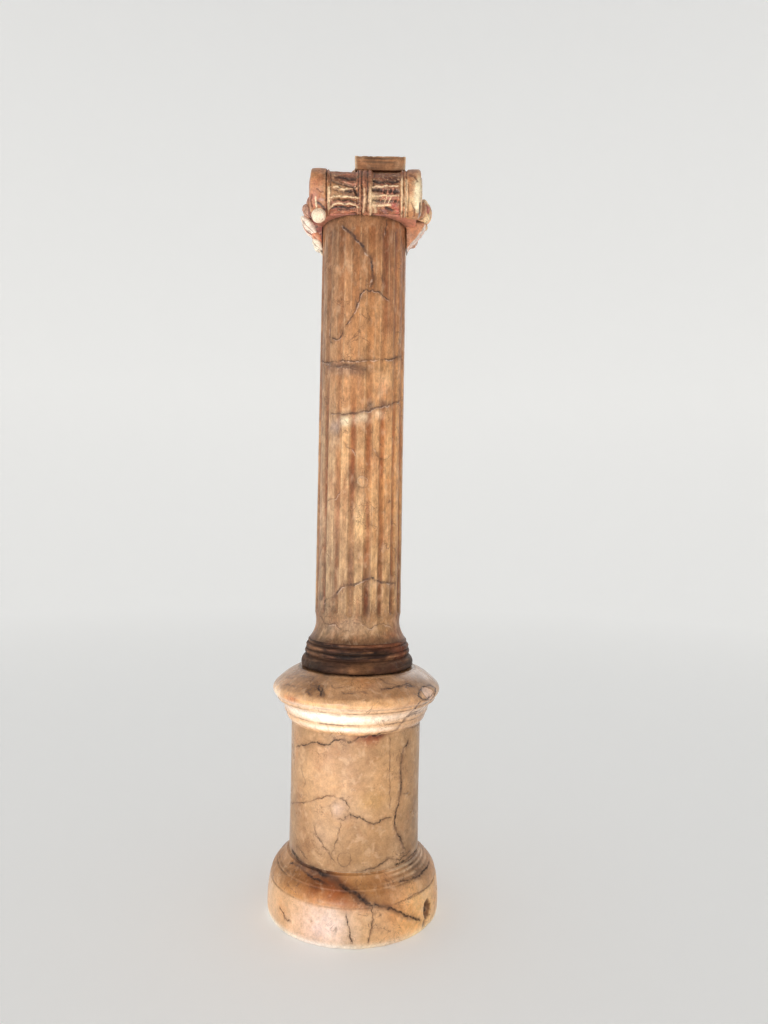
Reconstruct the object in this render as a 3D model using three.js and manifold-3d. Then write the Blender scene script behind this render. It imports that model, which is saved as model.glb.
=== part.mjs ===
// Decorative alabaster column: turned pedestal, fluted shaft, Ionic capital and a broken
// oblong abacus. Millimetres, +Z up, the origin at the centre of the underside.
import * as THREE from 'three';
import { mergeVertices } from 'three/addons/utils/BufferGeometryUtils.js';
import ManifoldModule from 'manifold-3d';

const wasm = await ManifoldModule();
wasm.setup();
const { Manifold, Mesh: SolidMesh } = wasm;

// ---------------------------------------------------------------- driving sizes
const TOTAL_H = 1000;          // underside to the top of the abacus
const JOINT = 0.3;             // dry joint between two stones

const PEDESTAL_SEGS = 44;
const PLINTH_R = 115.6;        // largest radius of the plinth band
const PLINTH_H = 49;
const FOOT_TOP_H = 82;         // top of the foot moulding
const DIE_R = 87.6;
const DIE_TOP_H = 256.5;
const CORNICE_R = 112.6;       // widest edge of the cornice
const CORNICE_EDGE_H = 300;
const PEDESTAL_H = 327;

const PIT_ANGLE = -32;         // chipped hole in the plinth, degrees from +X
const PIT_H = 23;
const PIT_SIZE = [9, 5, 11];   // half sizes: into the stone, along it, up

const SHAFT_SEGS = 72;
const SHAFT_FOOT_SEGS = 40;
const SHAFT_R_LOW = 58.6;
const SHAFT_R_TOP = 57.6;
const SHAFT_FOOT_R = 76.6;
const SHAFT_TOP_H = 924;
const FLUTES = 18;
const FLUTE_W = 10.6;
const FLUTE_DEPTH = 2.5;
const FLUTE_LOW_H = 402;       // rounded lower ends
const FLUTE_HIGH_H = 915;      // rounded upper ends, just under the capital

const ROLL_R = 30;             // radius of the bolsters and volutes
const ROLL_Y = 55;             // bolster axis in front of and behind the column axis
const ROLL_H = 952.3;
const CAP_HALF_X = 70.8;
const RIM_W = 20.4;            // smooth rim at each end of a bolster
const STRAP_W = 17.8;          // band around the middle of a bolster
const WAIST_R = 26.5;          // bolster radius under the leaves
const LEAF_ROWS = 6;
const ROLL_SEGS = 16;
const CANAL_H = [960, 982];    // band joining the two volutes of a face
const EGG_REACH = 84;
const BOSS_REACH = 91;
const DROP_LOW_H = 894;        // lower tip of the carved drop on each volute face

const ABACUS_HALF_X = 53.6;
const ABACUS_HALF_Y = 60;
// the break, from the left edge to the front edge
const ABACUS_BREAK = [[-53.6, 14], [-46.5, 9.2], [-40, 6], [-33.5, 2.6], [-26, -3], [-20.5, -10.4], [-15.6, -20], [-14.6, -30], [-13.6, -40], [-13.4, -50], [-12.8, -60]];

// ---------------------------------------------------------------- helpers
function clean(geo) {
  let g = geo.index ? geo.toNonIndexed() : geo.clone();
  g.deleteAttribute('uv');
  g.deleteAttribute('normal');
  g = mergeVertices(g, 1e-3);
  const kept = [];
  const ix = g.index.array;
  for (let i = 0; i < ix.length; i += 3) {
    const [a, b, c] = [ix[i], ix[i + 1], ix[i + 2]];
    if (a !== b && b !== c && a !== c) kept.push(a, b, c);
  }
  g.setIndex(kept);
  return g;
}

function solid(geo) {
  const g = clean(geo);
  const build = (tri) => new Manifold(new SolidMesh({
    numProp: 3,
    vertProperties: new Float32Array(g.attributes.position.array),
    triVerts: new Uint32Array(tri),
  }));
  const tri = Array.from(g.index.array);
  let m = build(tri);
  if (m.volume() < 0) {
    for (let i = 0; i < tri.length; i += 3) [tri[i], tri[i + 1]] = [tri[i + 1], tri[i]];
    m = build(tri);
  }
  return m;
}

function geometryOf(m) {
  const mesh = m.getMesh();
  const g = new THREE.BufferGeometry();
  const n = mesh.numProp;
  const pos = new Float32Array(mesh.numVert * 3);
  for (let i = 0; i < mesh.numVert; i++) {
    for (let k = 0; k < 3; k++) pos[i * 3 + k] = mesh.vertProperties[i * n + k];
  }
  g.setAttribute('position', new THREE.BufferAttribute(pos, 3));
  g.setIndex(Array.from(mesh.triVerts));
  g.computeVertexNormals();
  return g;
}

const union = (list) => Manifold.union(list);

// The outer skin alone: bubbles left between joined shapes are solid stone.
function filled(m) {
  return union(m.decompose().filter((shell) => shell.volume() > 1));
}

// A quarter-like curve between two profile points; swell is its sagitta over its chord.
function sweep(r0, h0, r1, h1, swell, steps) {
  const chord = Math.hypot(r1 - r0, h1 - h0);
  const nr = (h1 - h0) / chord;
  const nh = -(r1 - r0) / chord;
  const out = [];
  for (let i = 0; i <= steps; i++) {
    const t = i / steps;
    const s = swell * chord * 4 * t * (1 - t);
    out.push([r0 + (r1 - r0) * t + nr * s, h0 + (h1 - h0) * t + nh * s]);
  }
  return out;
}

function turned(profile, segs) {
  const pts = profile.map(([r, h]) => new THREE.Vector2(Math.max(r, 0), h));
  const g = new THREE.LatheGeometry(pts, segs);
  g.rotateX(Math.PI / 2);
  return solid(g);
}

function ellipsoid(x, y, z, a, b, c, w = 10, h = 6) {
  const g = new THREE.SphereGeometry(1, w, h);
  g.scale(a, b, c);
  g.translate(x, y, z);
  return solid(g);
}

function box(x0, x1, y0, y1, z0, z1) {
  const g = new THREE.BoxGeometry(x1 - x0, y1 - y0, z1 - z0);
  g.translate((x0 + x1) / 2, (y0 + y1) / 2, (z0 + z1) / 2);
  return solid(g);
}

// ---------------------------------------------------------------- pedestal
function pedestal() {
  const profile = [
    [0, 0], [PLINTH_R - 3.6, 0], [PLINTH_R - 1, 1.8],
    ...sweep(PLINTH_R, 5.5, PLINTH_R - 3, PLINTH_H - 1, 0.03, 2),
    ...sweep(PLINTH_R - 4, PLINTH_H + 0.5, 103.6, 65, 0.10, 2),
    [102.6, 67.4], [100.6, 68],
    ...sweep(98.6, 70, DIE_R + 4, 77.6, -0.08, 2),
    [DIE_R + 3.4, 79.4], [DIE_R + 0.2, FOOT_TOP_H],
    [DIE_R, DIE_TOP_H - 2],
    ...sweep(DIE_R + 1, DIE_TOP_H, 94.6, 266, 0.12, 2),
    [95.6, 268.4],
    ...sweep(97.4, 269.4, 105.6, 285, -0.12, 2),
    [107.6, 286], [109.4, 290.6],
    ...sweep(110.4, 291.8, CORNICE_R - 2.4, CORNICE_EDGE_H + 5, 0.2, 3),
    ...sweep(106.5, 308.5, 81, PEDESTAL_H - 2, 0.05, 2),
    [SHAFT_FOOT_R + 1, PEDESTAL_H], [0, PEDESTAL_H],
  ];
  const body = turned(profile, PEDESTAL_SEGS);
  const pit = solid(new THREE.IcosahedronGeometry(1, 1));
  const cut = pit.scale(PIT_SIZE).translate([PLINTH_R + 1.5, 0, PIT_H])
    .rotate([0, 0, PIT_ANGLE]);
  const chip = pit.scale([5, 4, 9]).translate([PLINTH_R + 2, -5, PIT_H - 10])
    .rotate([0, 0, PIT_ANGLE]);
  return body.subtract(cut).subtract(chip);
}

// ---------------------------------------------------------------- shaft
function shaft() {
  const z0 = PEDESTAL_H + JOINT;
  const foot = turned([
    [0, z0], [SHAFT_FOOT_R - 2, z0],
    ...sweep(SHAFT_FOOT_R - 1, z0 + 1.5, 72, z0 + 15, 0.16, 3),
    [69.6, z0 + 16.5],
    ...sweep(70, z0 + 18, 68.6, z0 + 30, 0.10, 2),
    [66.6, z0 + 33], [66.2, z0 + 36.5],
    ...sweep(64.6, z0 + 38, SHAFT_R_LOW - 0.2, FLUTE_LOW_H - 8, -0.12, 3),
    [0, FLUTE_LOW_H - 8],
  ], SHAFT_FOOT_SEGS);
  let body = turned([
    [0, z0 + 40], [SHAFT_R_LOW, z0 + 40], [SHAFT_R_TOP, SHAFT_TOP_H], [0, SHAFT_TOP_H],
  ], SHAFT_SEGS).add(foot);
  const cutR = (FLUTE_W * FLUTE_W / 4 + FLUTE_DEPTH * FLUTE_DEPTH) / (2 * FLUTE_DEPTH);
  const cutters = [];
  for (let i = 0; i < FLUTES; i++) {
    const ang = -90 + 180 / FLUTES + i * 360 / FLUTES;
    const cap = new THREE.CapsuleGeometry(cutR, FLUTE_HIGH_H - FLUTE_LOW_H, 2, 12);
    cap.rotateX(Math.PI / 2);
    cutters.push(solid(cap)
      .translate([SHAFT_R_LOW - FLUTE_DEPTH + cutR, 0, (FLUTE_HIGH_H + FLUTE_LOW_H) / 2])
      .rotate([0, 0, ang]));
  }
  body = body.subtract(union(cutters));
  return body;
}

// ---------------------------------------------------------------- capital
// One bolster: rims, leaf-carved flanks and a ribbed strap, turned about X.
function bolster(sign) {
  const half = CAP_HALF_X;
  const rim = half - RIM_W;
  const strap = STRAP_W / 2;
  const profile = [
    [0, -half], [ROLL_R - 2.5, -half], [ROLL_R, -half + 3], [ROLL_R - 0.4, -rim - 2], [ROLL_R - 2.4, -rim],
    [WAIST_R + 0.6, -rim + 2], [WAIST_R - 0.4, -strap - 2],
    [ROLL_R - 0.8, -strap], [ROLL_R - 0.8, -strap + 5], [ROLL_R - 2.6, -strap + 6],
    [ROLL_R - 0.6, 0], [ROLL_R - 2.6, strap - 6], [ROLL_R - 0.8, strap - 5], [ROLL_R - 0.8, strap],
    [WAIST_R - 0.4, strap + 2], [WAIST_R + 0.6, rim - 2],
    [ROLL_R - 2.4, rim], [ROLL_R - 0.4, rim + 2], [ROLL_R, half - 3], [ROLL_R - 2.5, half], [0, half],
  ];
  const g = new THREE.LatheGeometry(profile.map(([r, h]) => new THREE.Vector2(r, h)), ROLL_SEGS);
  g.rotateZ(-Math.PI / 2);
  const parts = [solid(g)];
  // rows of leaves lying along the roll on each side of the strap
  const len = rim - strap - 5;
  for (let row = 0; row < LEAF_ROWS; row++) {
    const a = -68 + row * 136 / (LEAF_ROWS - 1);
    for (const side of [-1, 1]) {
      const leaf = new THREE.CylinderGeometry(0.8, 4.2, len, 4, 1);
      leaf.rotateZ(side * Math.PI / 2);
      leaf.scale(1, 1.1, 0.7);
      leaf.translate(side * (strap + 2.5 + len / 2), 0, WAIST_R);
      parts.push(solid(leaf).rotate([-90 * sign + a, 0, 0]));
    }
  }
  return union(parts).translate([0, sign * ROLL_Y, ROLL_H]);
}

// A volute on the end of a bolster: a narrowing band that winds in to a round eye.
function volute(xSign, ySign) {
  const turns = 2.1;
  const steps = 16;
  const outer = [];
  const inner = [];
  for (let i = 0; i <= steps; i++) {
    const t = i / steps;
    const r = ROLL_R * (1 - t) ** 1.15 + 4 * t;
    const w = 4.6 * (1 - 0.72 * t);
    const a = Math.PI / 2 + t * turns * 2 * Math.PI;
    outer.push([r * Math.cos(a), r * Math.sin(a)]);
    inner.push([(r - w) * Math.cos(a), (r - w) * Math.sin(a)]);
  }
  const ring = [...outer, ...inner.reverse()];
  const shape = new THREE.Shape(ring.map(([x, y]) => new THREE.Vector2(x, y)));
  const g = new THREE.ExtrudeGeometry(shape, { depth: 5, bevelEnabled: false });
  // the shape's plane becomes the volute face, its start at the top
  g.rotateX(Math.PI / 2);
  g.rotateZ(Math.PI / 2);
  g.scale(1, ySign, 1);
  const m = solid(g);
  const b = m.boundingBox();
  const x = xSign > 0 ? CAP_HALF_X - 1.4 - b.min[0] : -(CAP_HALF_X - 1.4) - b.max[0];
  const eye = ellipsoid(0, 0, 0, 5, 5, 5, 8, 6)
    .translate([xSign * (CAP_HALF_X + 1.5), ySign * ROLL_Y, ROLL_H]);
  return m.translate([x, ySign * ROLL_Y, ROLL_H]).add(eye);
}

// Eggs, boss and hanging drop on one volute face.
function face(xSign) {
  const parts = [];
  for (const k of [-1, 0, 1]) {
    parts.push(ellipsoid(xSign * (EGG_REACH - 14), k * 17, 941, 13 - Math.abs(k) * 2, 8.6, 13.5));
  }
  parts.push(ellipsoid(xSign * (BOSS_REACH - 13), 0, 933, 13, 15, 13, 12, 8));
  if (xSign < 0) {
    const lobes = 3;
    for (let i = 0; i < lobes; i++) {
      const t = i / (lobes - 1);
      parts.push(ellipsoid(-(73.5 - 11 * t), 0, 920 - (919 - DROP_LOW_H - 8) * t, 10.5 - 3 * t, 17 - 5 * t, 11 - 1.5 * t));
    }
  } else {
    // the drop is broken away here and leaves a plain sloped stump
    const s = new THREE.Shape([
      new THREE.Vector2(50, 926), new THREE.Vector2(50, DROP_LOW_H + 1), new THREE.Vector2(59.4, DROP_LOW_H + 2),
      new THREE.Vector2(72, 913), new THREE.Vector2(86, 932), new THREE.Vector2(84, 938), new THREE.Vector2(66, 940),
    ]);
    const g = new THREE.ExtrudeGeometry(s, { depth: 34, bevelEnabled: false });
    g.rotateX(Math.PI / 2);
    g.translate(0, 17, 0);
    parts.push(solid(g));
  }
  return union(parts);
}

function capital() {
  const z0 = SHAFT_TOP_H + JOINT;
  const parts = [
    box(-CAP_HALF_X + 4, CAP_HALF_X - 4, -ROLL_Y + 1, ROLL_Y - 1, z0, CANAL_H[1] - 0.4),
    box(-CAP_HALF_X - 1, CAP_HALF_X + 1, -ROLL_Y, ROLL_Y, CANAL_H[0], CANAL_H[1] - 0.2),
    box(-EGG_REACH + 9, EGG_REACH - 9, -26, 26, z0, CANAL_H[0] + 3),
    bolster(-1), bolster(1), face(-1), face(1),
  ];
  for (const sx of [-1, 1]) for (const sy of [-1, 1]) parts.push(volute(sx, sy));
  let body = union(parts);
  // seat of the shaft, flat top, and the clear ring around the neck of the shaft
  const neck = new THREE.CylinderGeometry(SHAFT_R_LOW + 0.5, SHAFT_R_LOW + 0.5, 80, SHAFT_SEGS);
  neck.rotateX(Math.PI / 2);
  neck.translate(0, 0, z0 - 40);
  body = body.subtract(solid(neck));
  return filled(body.subtract(box(-120, 120, -120, 120, CANAL_H[1], CANAL_H[1] + 40)));
}

// ---------------------------------------------------------------- abacus
function abacus() {
  const z0 = CANAL_H[1] + JOINT;
  const [hx, hy] = [ABACUS_HALF_X, ABACUS_HALF_Y];
  const outline = [[hx - 0.8, -hy], [hx, -hy + 0.8], [hx, hy], [-hx, hy], ...ABACUS_BREAK];
  const g = new THREE.ExtrudeGeometry(new THREE.Shape(outline.map(([x, y]) => new THREE.Vector2(x, y))),
    { depth: TOTAL_H - z0, bevelEnabled: false });
  g.translate(0, 0, z0);
  return solid(g);
}

// ---------------------------------------------------------------- scene graph
const group = new THREE.Group();
group.name = 'column';
for (const [name, make, color, roughness] of [
  ['pedestal', pedestal, '#cba578', 0.28],
  ['shaft', shaft, '#b27d4e', 0.32],
  ['capital', capital, '#a9714f', 0.34],
  ['abacus', abacus, '#a8733f', 0.4],
]) {
  const mesh = new THREE.Mesh(geometryOf(make()),
    new THREE.MeshStandardMaterial({ color, roughness, metalness: 0 }));
  mesh.name = name;
  group.add(mesh);
}

export default group;
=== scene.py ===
import math
import bpy
import numpy as np
from mathutils import Matrix, Vector


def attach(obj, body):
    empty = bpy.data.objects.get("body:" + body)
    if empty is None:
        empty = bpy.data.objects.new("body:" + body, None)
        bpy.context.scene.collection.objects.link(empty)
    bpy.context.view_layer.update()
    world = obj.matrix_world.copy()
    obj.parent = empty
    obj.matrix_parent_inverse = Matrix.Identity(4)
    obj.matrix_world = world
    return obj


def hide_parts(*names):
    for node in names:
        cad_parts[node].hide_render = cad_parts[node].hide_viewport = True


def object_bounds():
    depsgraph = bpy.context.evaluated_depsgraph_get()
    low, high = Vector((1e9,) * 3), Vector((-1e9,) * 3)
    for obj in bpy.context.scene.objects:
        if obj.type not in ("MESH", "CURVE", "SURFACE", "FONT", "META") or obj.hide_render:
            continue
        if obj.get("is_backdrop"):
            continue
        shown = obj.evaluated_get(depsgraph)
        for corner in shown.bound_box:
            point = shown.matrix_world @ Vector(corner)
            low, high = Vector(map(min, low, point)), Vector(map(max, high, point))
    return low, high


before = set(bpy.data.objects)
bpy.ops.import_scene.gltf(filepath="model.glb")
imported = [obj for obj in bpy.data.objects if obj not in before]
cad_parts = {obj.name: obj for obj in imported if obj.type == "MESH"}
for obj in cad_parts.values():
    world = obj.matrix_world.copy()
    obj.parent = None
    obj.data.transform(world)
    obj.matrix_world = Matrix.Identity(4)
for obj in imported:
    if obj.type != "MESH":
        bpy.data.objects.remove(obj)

cad_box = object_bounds()
MM = 0.001

# ------------------------------------------------------------------ noise
def value_noise(p, seed):
    i = np.floor(p).astype(np.int64)
    f = p - i
    f = f * f * f * (f * (f * 6 - 15) + 10)
    out = np.zeros(len(p))
    for dx in (0, 1):
        wx = f[:, 0] if dx else 1 - f[:, 0]
        for dy in (0, 1):
            wy = f[:, 1] if dy else 1 - f[:, 1]
            for dz in (0, 1):
                wz = f[:, 2] if dz else 1 - f[:, 2]
                n = (i[:, 0] + dx) * 73856093 ^ (i[:, 1] + dy) * 19349663 ^ (i[:, 2] + dz) * 83492791
                n = (n + seed * 7919) & 0x7fffffff
                n = ((n ^ (n >> 13)) * 1274126177) & 0x7fffffff
                n = ((n ^ (n >> 15)) * 668265263) & 0x7fffffff
                n = n ^ (n >> 14)
                out += wx * wy * wz * ((n & 0xffffff) / 0x7fffff - 1.0)
    return out


def fbm(p, octaves=3, seed=1, gain=0.5):
    total = np.zeros(len(p)); amp = 1.0; norm = 0.0
    for k in range(octaves):
        total += amp * value_noise(p * 2.03 ** k + 17.3 * k, seed + k)
        norm += amp
        amp *= gain
    return total / norm


def smooth(a, b, x):
    t = np.clip((x - a) / (b - a), 0, 1)
    return t * t * (3 - 2 * t)


def lin(rgb):
    c = np.array(rgb, float) / 255.0
    return np.where(c <= 0.04045, c / 12.92, ((c + 0.055) / 1.055) ** 2.4)


# ------------------------------------------------------------------ meshes
def grid_faces(rows, cols, wrap=True):
    a = np.arange(rows - 1)[:, None]
    b = np.arange(cols if wrap else cols - 1)[None, :]
    v00 = a * cols + b
    v01 = a * cols + (b + 1) % cols
    v10 = (a + 1) * cols + b
    v11 = (a + 1) * cols + (b + 1) % cols
    return np.stack([v00, v01, v11, v10], -1).reshape(-1, 4)


def mesh_object(name, verts_mm, quads, tris=None, flat=False):
    verts = np.asarray(verts_mm, float) * MM
    me = bpy.data.meshes.new(name)
    nq = len(quads)
    nt = 0 if tris is None else len(tris)
    me.vertices.add(len(verts))
    me.vertices.foreach_set("co", verts.astype(np.float32).ravel())
    loops = np.asarray(quads, np.int32).ravel()
    if nt:
        loops = np.concatenate([loops, np.asarray(tris, np.int32).ravel()])
    me.loops.add(len(loops))
    me.loops.foreach_set("vertex_index", loops)
    starts = np.arange(nq) * 4
    totals = np.full(nq, 4)
    if nt:
        starts = np.concatenate([starts, nq * 4 + np.arange(nt) * 3])
        totals = np.concatenate([totals, np.full(nt, 3)])
    me.polygons.add(nq + nt)
    me.polygons.foreach_set("loop_start", starts.astype(np.int32))
    me.polygons.foreach_set("loop_total", totals.astype(np.int32))
    me.update(calc_edges=True)
    me.polygons.foreach_set("use_smooth", np.full(nq + nt, not flat))
    ob = bpy.data.objects.new(name, me)
    bpy.context.scene.collection.objects.link(ob)
    return ob


def put_attr(ob, name, data):
    data = np.asarray(data, np.float32)
    if data.ndim == 1:
        at = ob.data.attributes.new(name, "FLOAT", "POINT")
        at.data.foreach_set("value", data)
    elif data.shape[1] == 3:
        at = ob.data.attributes.new(name, "FLOAT_VECTOR", "POINT")
        at.data.foreach_set("vector", data.ravel())
    else:
        at = ob.data.attributes.new(name, "FLOAT_COLOR", "POINT")
        at.data.foreach_set("color", data.ravel())


def put_color(ob, name, rgb):
    rgb = np.clip(rgb, 0.001, 1)
    put_attr(ob, name, np.concatenate([rgb, np.ones((len(rgb), 1))], 1))


# ------------------------------------------------------------------ profiles
def sweep(r0, h0, r1, h1, swell, n):
    c = math.hypot(r1 - r0, h1 - h0)
    nr, nh = (h1 - h0) / c, -(r1 - r0) / c
    t = np.linspace(0, 1, n + 1)
    s = swell * c * 4 * t * (1 - t)
    return [(r0 + (r1 - r0) * a + nr * b, h0 + (h1 - h0) * a + nh * b) for a, b in zip(t, s)]


PLINTH_R, PLINTH_H, DIE_R, DIE_TOP = 115.6, 49.0, 87.6, 256.5
CORNICE_R, EDGE_H, PED_H = 112.6, 300.0, 327.0
SHAFT_Z0 = PED_H + 0.3
SHAFT_LOW_R, SHAFT_TOP_R, SHAFT_TOP = 58.6, 57.6, 924.0

PLINTH = [(0.4, 0), (PLINTH_R - 4.6, 0)] + sweep(PLINTH_R - 3.4, 0.3, PLINTH_R - 0.4, 4.0, 0.2, 4) \
    + sweep(PLINTH_R, 6, PLINTH_R - 3, PLINTH_H - 1.4, 0.03, 10) \
    + [(PLINTH_R - 3.9, PLINTH_H - 0.2)] \
    + sweep(PLINTH_R - 4.1, PLINTH_H + 0.8, 103.8, 64.4, 0.10, 10) \
    + [(102.7, 65.6), (102.5, 67.3), (100.8, 68.0)] \
    + sweep(98.9, 69.8, DIE_R + 4.2, 77.2, -0.08, 8) + [(DIE_R + 3.6, 78.2), (DIE_R + 3.3, 79.7), (DIE_R + 0.9, 80.2), (DIE_R + 0.2, 82)]
DIE = [(DIE_R + 0.2, 82), (DIE_R - 0.2, 130), (DIE_R - 0.4, 175), (DIE_R - 0.1, 230), (DIE_R, DIE_TOP - 2)]
CORNICE = [(DIE_R, DIE_TOP - 2), (DIE_R + 0.9, DIE_TOP - 1.2)] + sweep(DIE_R + 1.5, DIE_TOP, 94.6, 266, 0.14, 8) + [(95.8, 267.0), (96.0, 268.9)] \
    + sweep(97.4, 269.8, 105.6, 285, -0.12, 10) + [(107.4, 285.4), (107.9, 287.0), (108.9, 290.0)] \
    + sweep(110.2, 291.2, CORNICE_R - 2.2, EDGE_H + 5, 0.22, 10) + sweep(106.7, 308.3, 82, PED_H - 2.2, 0.05, 10) + [(79.4, PED_H - 0.4), (76, PED_H - 0.2), (60, PED_H - 0.2)]
RING = [(60, SHAFT_Z0), (73.6, SHAFT_Z0)] + sweep(75.4, SHAFT_Z0 + 1.2, 72.2, SHAFT_Z0 + 14.6, 0.17, 10) \
    + [(70.6, SHAFT_Z0 + 15.4), (69.6, SHAFT_Z0 + 16.6), (69.8, SHAFT_Z0 + 17.6)] \
    + sweep(70.9, SHAFT_Z0 + 18.6, 70.6, SHAFT_Z0 + 24.2, 0.12, 5) + [(69.4, SHAFT_Z0 + 24.9)] \
    + sweep(69.9, SHAFT_Z0 + 25.8, 69.0, SHAFT_Z0 + 31.2, 0.12, 5) + [(67.2, SHAFT_Z0 + 32.0), (66.8, SHAFT_Z0 + 33.0)] \
    + [(67.4, SHAFT_Z0 + 34.0), (66.9, SHAFT_Z0 + 36.6), (65.6, SHAFT_Z0 + 37.4)]
SHAFT = [(65.6, SHAFT_Z0 + 37.4)] + sweep(64.9, SHAFT_Z0 + 38.6, SHAFT_LOW_R, 400, -0.12, 12) + [(SHAFT_TOP_R + 0.3, 700), (SHAFT_TOP_R, SHAFT_TOP)]


def resample(profile, step, soften=0.5, dense=None):
    """Even rows along a profile, its corners worn round."""
    p = np.array(profile, float)
    s = np.concatenate([[0], np.cumsum(np.hypot(*np.diff(p, axis=0).T))])
    fine = np.arange(0, s[-1], 0.1)
    r = np.interp(fine, s, p[:, 0]); h = np.interp(fine, s, p[:, 1])
    k = int(soften / 0.1)
    if k > 0:
        w = np.hanning(2 * k + 3)[1:-1]; w /= w.sum()
        pad = lambda a: np.concatenate([2 * a[0] - a[k:0:-1], a, 2 * a[-1] - a[-2:-k - 2:-1]])
        r = np.convolve(pad(r), w, "valid"); h = np.convolve(pad(h), w, "valid")
    if dense is None:
        n = int(round(fine[-1] / step)) + 1
        q = np.linspace(0, fine[-1], n)
    else:
        q = dense(fine[-1])
    return np.interp(q, fine, r), np.interp(q, fine, h), q


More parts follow.
